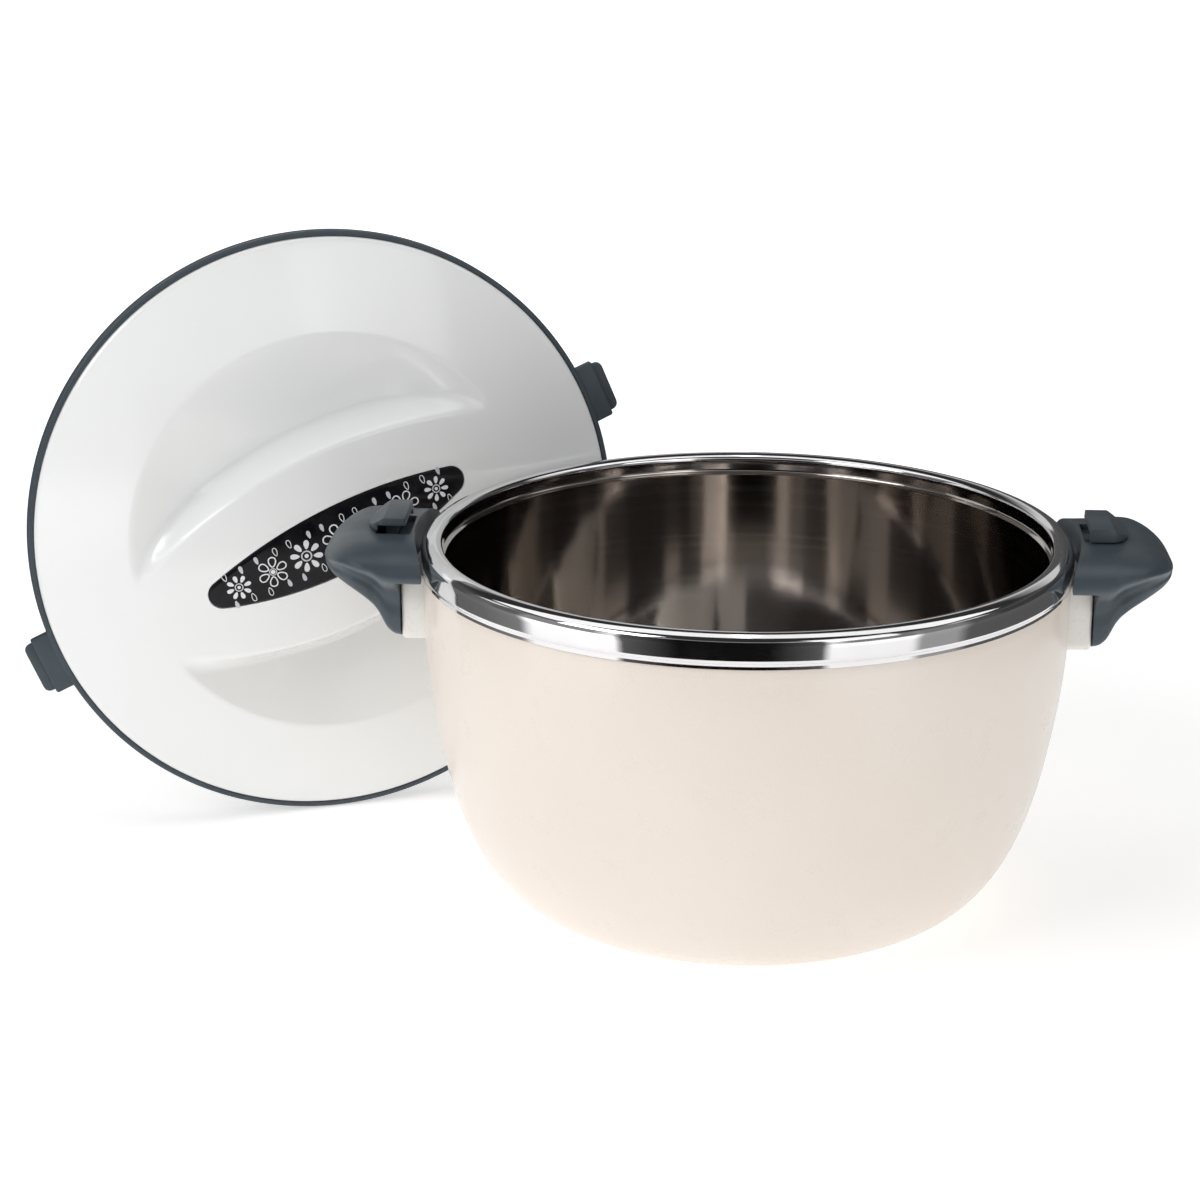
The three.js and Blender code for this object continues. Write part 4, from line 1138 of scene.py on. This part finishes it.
class Print:
    """Flat shapes laid on the dome, gathered into one mesh."""

    def __init__(self):
        self.vertices = []
        self.faces = []

    def band(self, inner, outer):
        """Fills between two closed outlines with the same number of points."""
        start, count = len(self.vertices), len(inner)
        for level in (PRINT_LIFT, PRINT_LIFT - PRINT_THICKNESS):
            for outline in (inner, outer):
                self.vertices += [(x, y, dome_height(math.hypot(x, y)) + level) for x, y in outline]
        rings = [start, start + count, start + 3 * count, start + 2 * count]
        for low, high in zip(rings, rings[1:] + rings[:1]):
            for j in range(count):
                k = (j + 1) % count
                self.faces.append((low + j, low + k, high + k, high + j))

    def fill(self, outline):
        """Fills a convex or star-shaped outline, leaving a pinhole that closes when corners merge."""
        outline = np.array(outline)
        middle = outline.mean(axis=0)
        self.band(middle + (outline - middle) * 0.002, outline)

    def stroke(self, outline, width):
        outline = np.array(outline)
        out = outline_normals(outline) * width / 2
        self.band(outline - out, outline + out)

    def mesh(self):
        mesh = bpy.data.meshes.new("print")
        mesh.from_pydata(self.vertices, [], self.faces)
        work = bmesh.new()
        work.from_mesh(mesh)
        bmesh.ops.recalc_face_normals(work, faces=work.faces)
        work.to_mesh(mesh)
        work.free()
        return mesh


def polar(cx, cy, radius_at, steps=72, turn=0.0):
    """A closed outline round (cx, cy) whose radius is a function of the angle."""
    return [(cx + radius_at(a) * math.cos(a + turn), cy + radius_at(a) * math.sin(a + turn))
            for a in np.arange(steps) * TAU / steps]


def petal(cx, cy, angle, near, far, half_width, steps=20):
    """A teardrop that points away from (cx, cy), as an outline."""
    along = np.array([math.cos(angle), math.sin(angle)])
    across = np.array([-along[1], along[0]])
    points = []
    for a in np.arange(steps) * TAU / steps:
        t = (1 - math.cos(a)) / 2
        swell = math.sin(a) * (0.55 + 0.45 * t)
        points.append(np.array([cx, cy]) + along * (near + (far - near) * t) - across * swell * half_width)
    return points


def daisy(white, grey, cx, cy, size, turn):
    """Eight filled petals round a dotted ring."""
    for i in range(8):
        white.fill(petal(cx, cy, turn + TAU * i / 8, 0.42 * size, size, 0.21 * size))
    grey.stroke(polar(cx, cy, lambda a: 0.3 * size, 32), 0.09 * size)
    white.fill(polar(cx, cy, lambda a: 0.13 * size, 24))


def open_bloom(white, grey, cx, cy, size, turn):
    """Six petals drawn as outlines round a filled centre."""
    for i in range(6):
        white.stroke(petal(cx, cy, turn + TAU * i / 6, 0.34 * size, size, 0.3 * size, 28), 0.085 * size)
    grey.stroke(polar(cx, cy, lambda a: 0.23 * size, 28), 0.06 * size)
    white.fill(polar(cx, cy, lambda a: 0.15 * size, 24))


def leaf(white, grey, x, y, angle, length, filled):
    """A leaf with its middle at (x, y), filled in grey or outlined in white."""
    foot = (x - length / 2 * math.cos(angle), y - length / 2 * math.sin(angle))
    outline = petal(*foot, angle, 0, length, 0.3 * length, 24)
    if filled:
        grey.fill(outline)
    else:
        white.stroke(outline, 0.09 * length)


FLOWERS = 7
FLOWER_SPACING = 15.6
LEAF_LENGTH = 3.6
LEAF_GAP = 2.3  # from a flower's petals to the middle of its leaves


def flower_row():
    """Seven flowers along the inlay, larger towards its middle, each with up to four leaves."""
    white, grey = Print(), Print()
    for i in range(FLOWERS):
        cx = (i - (FLOWERS - 1) / 2) * FLOWER_SPACING
        room = 1 - (abs(cx) / INLAY_HALF_LENGTH) ** 2
        size = 4.2 + 3.0 * room
        draw = daisy if i % 2 == 0 else open_bloom
        draw(white, grey, cx, 0, size, 0.2 * i)
        for k, (sx, sy) in enumerate(((1, 1), (-1, 1), (-1, -1), (1, -1))):
            lean = math.radians(60 if room > 0.3 else 38)
            across, up = sx * math.cos(lean), sy * math.sin(lean)
            x, y = cx + across * (size + LEAF_GAP), up * (size + LEAF_GAP)
            if abs(x) < INLAY_HALF_LENGTH - 7:
                leaf(white, grey, x, y, math.atan2(up, across) + 0.5 * sx * sy, LEAF_LENGTH, (k + i) % 2 == 0)
    return white.mesh(), grey.mesh()


white_print, grey_print = flower_row()
add_lid("print_white", white_print, INK_WHITE)
add_lid("print_grey", grey_print, INK_GREY)


# ------------------------------------------------------------------ CAD nodes that stay
KEPT_LOOKS = {
    "body_insulation": FOAM,
    "lid_insulation": FOAM,
    "latch_retainer": NYLON,
    "latch_screw": SCREW,
    "handle_screw": SCREW,
    "detent_spring": SPRING,
}
for node_name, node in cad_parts.items():
    for start_of_name, look in KEPT_LOOKS.items():
        if node_name.startswith(start_of_name):
            node.data.materials.clear()
            node.data.materials.append(look)


# ------------------------------------------------------------------ floor, light and camera
def pale_floor():
    """White paper that glows a little, and more the farther it is from the object."""
    look = Look("pale_floor", (0.86, 0.86, 0.86), 0.7)
    look.link(look.spread(look.noise(3, 3), 0.65, 0.75), look.roughness)
    look.set("Emission Color", (1, 1, 1, 1))
    away = look.math("ADD", *[look.math("MULTIPLY", value, value) for value in look.split(look.place)[:2]])
    look.link(look.spread(away, 0.5, 1.1, (0.05, 1.2)), look.shader.inputs["Emission Strength"])
    return look.material


def add_floor():
    half, sunk = 9.0, 0.0002
    mesh = bpy.data.meshes.new("floor")
    corner_places = [(-half, -half, 0), (half, -half, 0), (half, half, 0), (-half, half, 0)]
    mesh.from_pydata(corner_places, [], [(0, 1, 2, 3)])
    mesh.materials.append(pale_floor())
    floor = bpy.data.objects.new("floor", mesh)
    floor.location.z = -sunk
    bpy.context.scene.collection.objects.link(floor)


def add_area(name, place, target, size, power):
    """A rectangular lamp that faces the target; size in metres, power in watts."""
    light = bpy.data.lights.new(name, "AREA")
    light.shape = "RECTANGLE"
    light.size, light.size_y = size
    light.energy = power
    lamp = bpy.data.objects.new(name, light)
    lamp.location = place
    lamp.rotation_euler = (Vector(target) - Vector(place)).to_track_quat("-Z", "Y").to_euler()
    bpy.context.scene.collection.objects.link(lamp)
    return lamp


def azimuth_ramp(wiring, place, bands):
    """A colour by the direction round the pot; bands are (degrees from the front, colour)."""
    x, y = wiring.split(place)[:2]
    azimuth = wiring.math("ARCTAN2", x, wiring.math("MULTIPLY", y, -1))
    ramp = wiring.add("ShaderNodeValToRGB")
    wiring.link(wiring.spread(azimuth, 0, 1, (-math.pi, math.pi)), ramp.inputs[0])
    elements = ramp.color_ramp.elements
    elements.remove(elements[-1])
    for i, (degrees, color) in enumerate(bands):
        position = (degrees + 180) / 360
        element = elements[0] if i == 0 else elements.new(position)
        element.position = position
        element.color = color
    return ramp


def add_world():
    """White to the camera; to the object, a studio of bright sheets and dark gaps."""
    world = bpy.data.worlds.new("studio")
    world.use_nodes = True
    wiring = Wiring(world.node_tree)
    place = wiring.add("ShaderNodeTexCoord").outputs["Generated"]
    ramp = azimuth_ramp(wiring, place, [(d, (g, g, g, 1)) for d, g in WORLD_BANDS])
    upward = wiring.spread(wiring.split(place)[2], 0, 1, ZENITH_START)
    white, room = (wiring.add("ShaderNodeBackground") for _ in range(2))
    white.inputs["Color"].default_value = (1, 1, 1, 1)
    room.inputs["Strength"].default_value = WORLD_STRENGTH
    wiring.link(wiring.blend(upward, ramp.outputs["Color"], (ZENITH_GREY,) * 3), room.inputs["Color"])
    seen = wiring.add("ShaderNodeLightPath").outputs["Is Camera Ray"]
    wiring.finish("ShaderNodeOutputWorld", seen, room, white)
    bpy.context.scene.world = world


# From behind (-180) by the left (-90), the front (0) and the right (90) to behind again.
WORLD_BANDS = [
    (-180, 0.9), (-150, 0.9), (-146, 0.12), (-112, 0.1), (-108, 1.4), (-98, 1.4), (-94, 0.35), (-52, 0.4),
    (-46, 1.3), (-30, 1.2), (-24, 0.6), (12, 0.65), (18, 1.25), (30, 1.2), (36, 0.3), (76, 0.25),
    (82, 1.1), (94, 1.1), (98, 0.12), (140, 0.12), (146, 0.9), (180, 0.9),
]
WORLD_STRENGTH = 0.75
ZENITH_GREY = 0.04
ZENITH_START = (0.42, 0.6)  # sines of the elevations between which the bands give way to it


# Greys seen in the polished rim, as (degrees round from the front, grey, how solid).
SLEEVE_BANDS = [
    (-180, 0.45, 0.9), (-125, 0.45, 0.9), (-119, 0.07, 0.95), (-89, 0.1, 0.95), (-71, 0.12, 0.9),
    (-66, 0.6, 0.0), (-38, 0.6, 0.0), (-36, 0.05, 0.95), (-19, 0.004, 1.0), (8, 0.005, 1.0),
    (23, 0.05, 0.95), (25, 0.6, 0.0), (50, 0.6, 0.0), (53, 0.24, 0.85), (66, 0.22, 0.85),
    (71, 0.05, 0.95), (150, 0.045, 0.95), (180, 0.05, 0.9),
]


def add_sleeve():
    """A low wall round the pot that only mirror reflections see, clear here and dark there."""
    radius, top, steps = 0.43, 0.3, 180
    angles = [TAU * i / steps for i in range(steps)]
    ring = [(radius * math.sin(a), -radius * math.cos(a)) for a in angles]
    mesh = bpy.data.meshes.new("sleeve")
    vertices = [(x, y, z) for z in (0.001, top) for x, y in ring]
    faces = [(i, (i + 1) % steps, steps + (i + 1) % steps, steps + i) for i in range(steps)]
    mesh.from_pydata(vertices, [], faces)
    material = bpy.data.materials.new("sleeve_greys")
    material.use_nodes = True
    wiring = Wiring(material.node_tree)
    place = wiring.add("ShaderNodeTexCoord").outputs["Object"]
    ramp = azimuth_ramp(wiring, place, [(d, (g, g, g, a)) for d, g, a in SLEEVE_BANDS])
    clear, grey = wiring.add("ShaderNodeBsdfTransparent"), wiring.add("ShaderNodeEmission")
    wiring.link(ramp.outputs["Color"], grey.inputs["Color"])
    wiring.finish("ShaderNodeOutputMaterial", ramp.outputs["Alpha"], clear, grey)
    mesh.materials.append(material)
    sleeve = bpy.data.objects.new("sleeve", mesh)
    for rays in ("camera", "diffuse", "shadow", "transmission", "volume_scatter"):
        setattr(sleeve, f"visible_{rays}", False)
    bpy.context.scene.collection.objects.link(sleeve)


def add_lights():
    """A key from the left, a weak fill from the right and two sheets overhead with a gap between."""
    middle = (cad_low + cad_high) / 2
    add_area("key", middle + Vector((-1.3, -1.1, 1.2)), middle, (1.1, 0.9), 12)
    add_area("fill", middle + Vector((1.1, -1.3, 0.9)), middle, (0.9, 0.9), 3)
    for side in (-1, 1):
        place = Vector((side * 0.8, 0.15, 1.6))
        add_area(f"overhead_{side + 1}", place, place - Vector((side * 0.15, 0, 1)), (1.15, 1.7), 7)


CAMERA_AZIMUTH = math.radians(0.2)
CAMERA_ELEVATION = math.radians(18.83)
CAMERA_DISTANCE = 1.2
CAMERA_LENS = 88.8
CAMERA_AIM = Vector((0.0096, -0.0069, -0.0037))  # from the middle of the CAD's box


def add_camera():
    """Stands back from the middle of the pot and aims near the middle of the whole object."""
    pot_middle = Vector((0, 0, 0.1))
    level, rise = math.cos(CAMERA_ELEVATION), math.sin(CAMERA_ELEVATION)
    back = Vector((math.sin(CAMERA_AZIMUTH) * level, -math.cos(CAMERA_AZIMUTH) * level, rise))
    aim = (cad_low + cad_high) / 2 + CAMERA_AIM
    camera = bpy.data.cameras.new("camera")
    camera.lens = CAMERA_LENS
    camera.sensor_width = 36
    stand = bpy.data.objects.new("camera", camera)
    stand.location = pot_middle + back * CAMERA_DISTANCE
    stand.rotation_euler = (aim - stand.location).to_track_quat("-Z", "Y").to_euler()
    bpy.context.scene.collection.objects.link(stand)
    bpy.context.scene.camera = stand


add_floor()
add_world()
add_sleeve()
add_lights()
add_camera()
bpy.context.scene.view_settings.view_transform = "Standard"
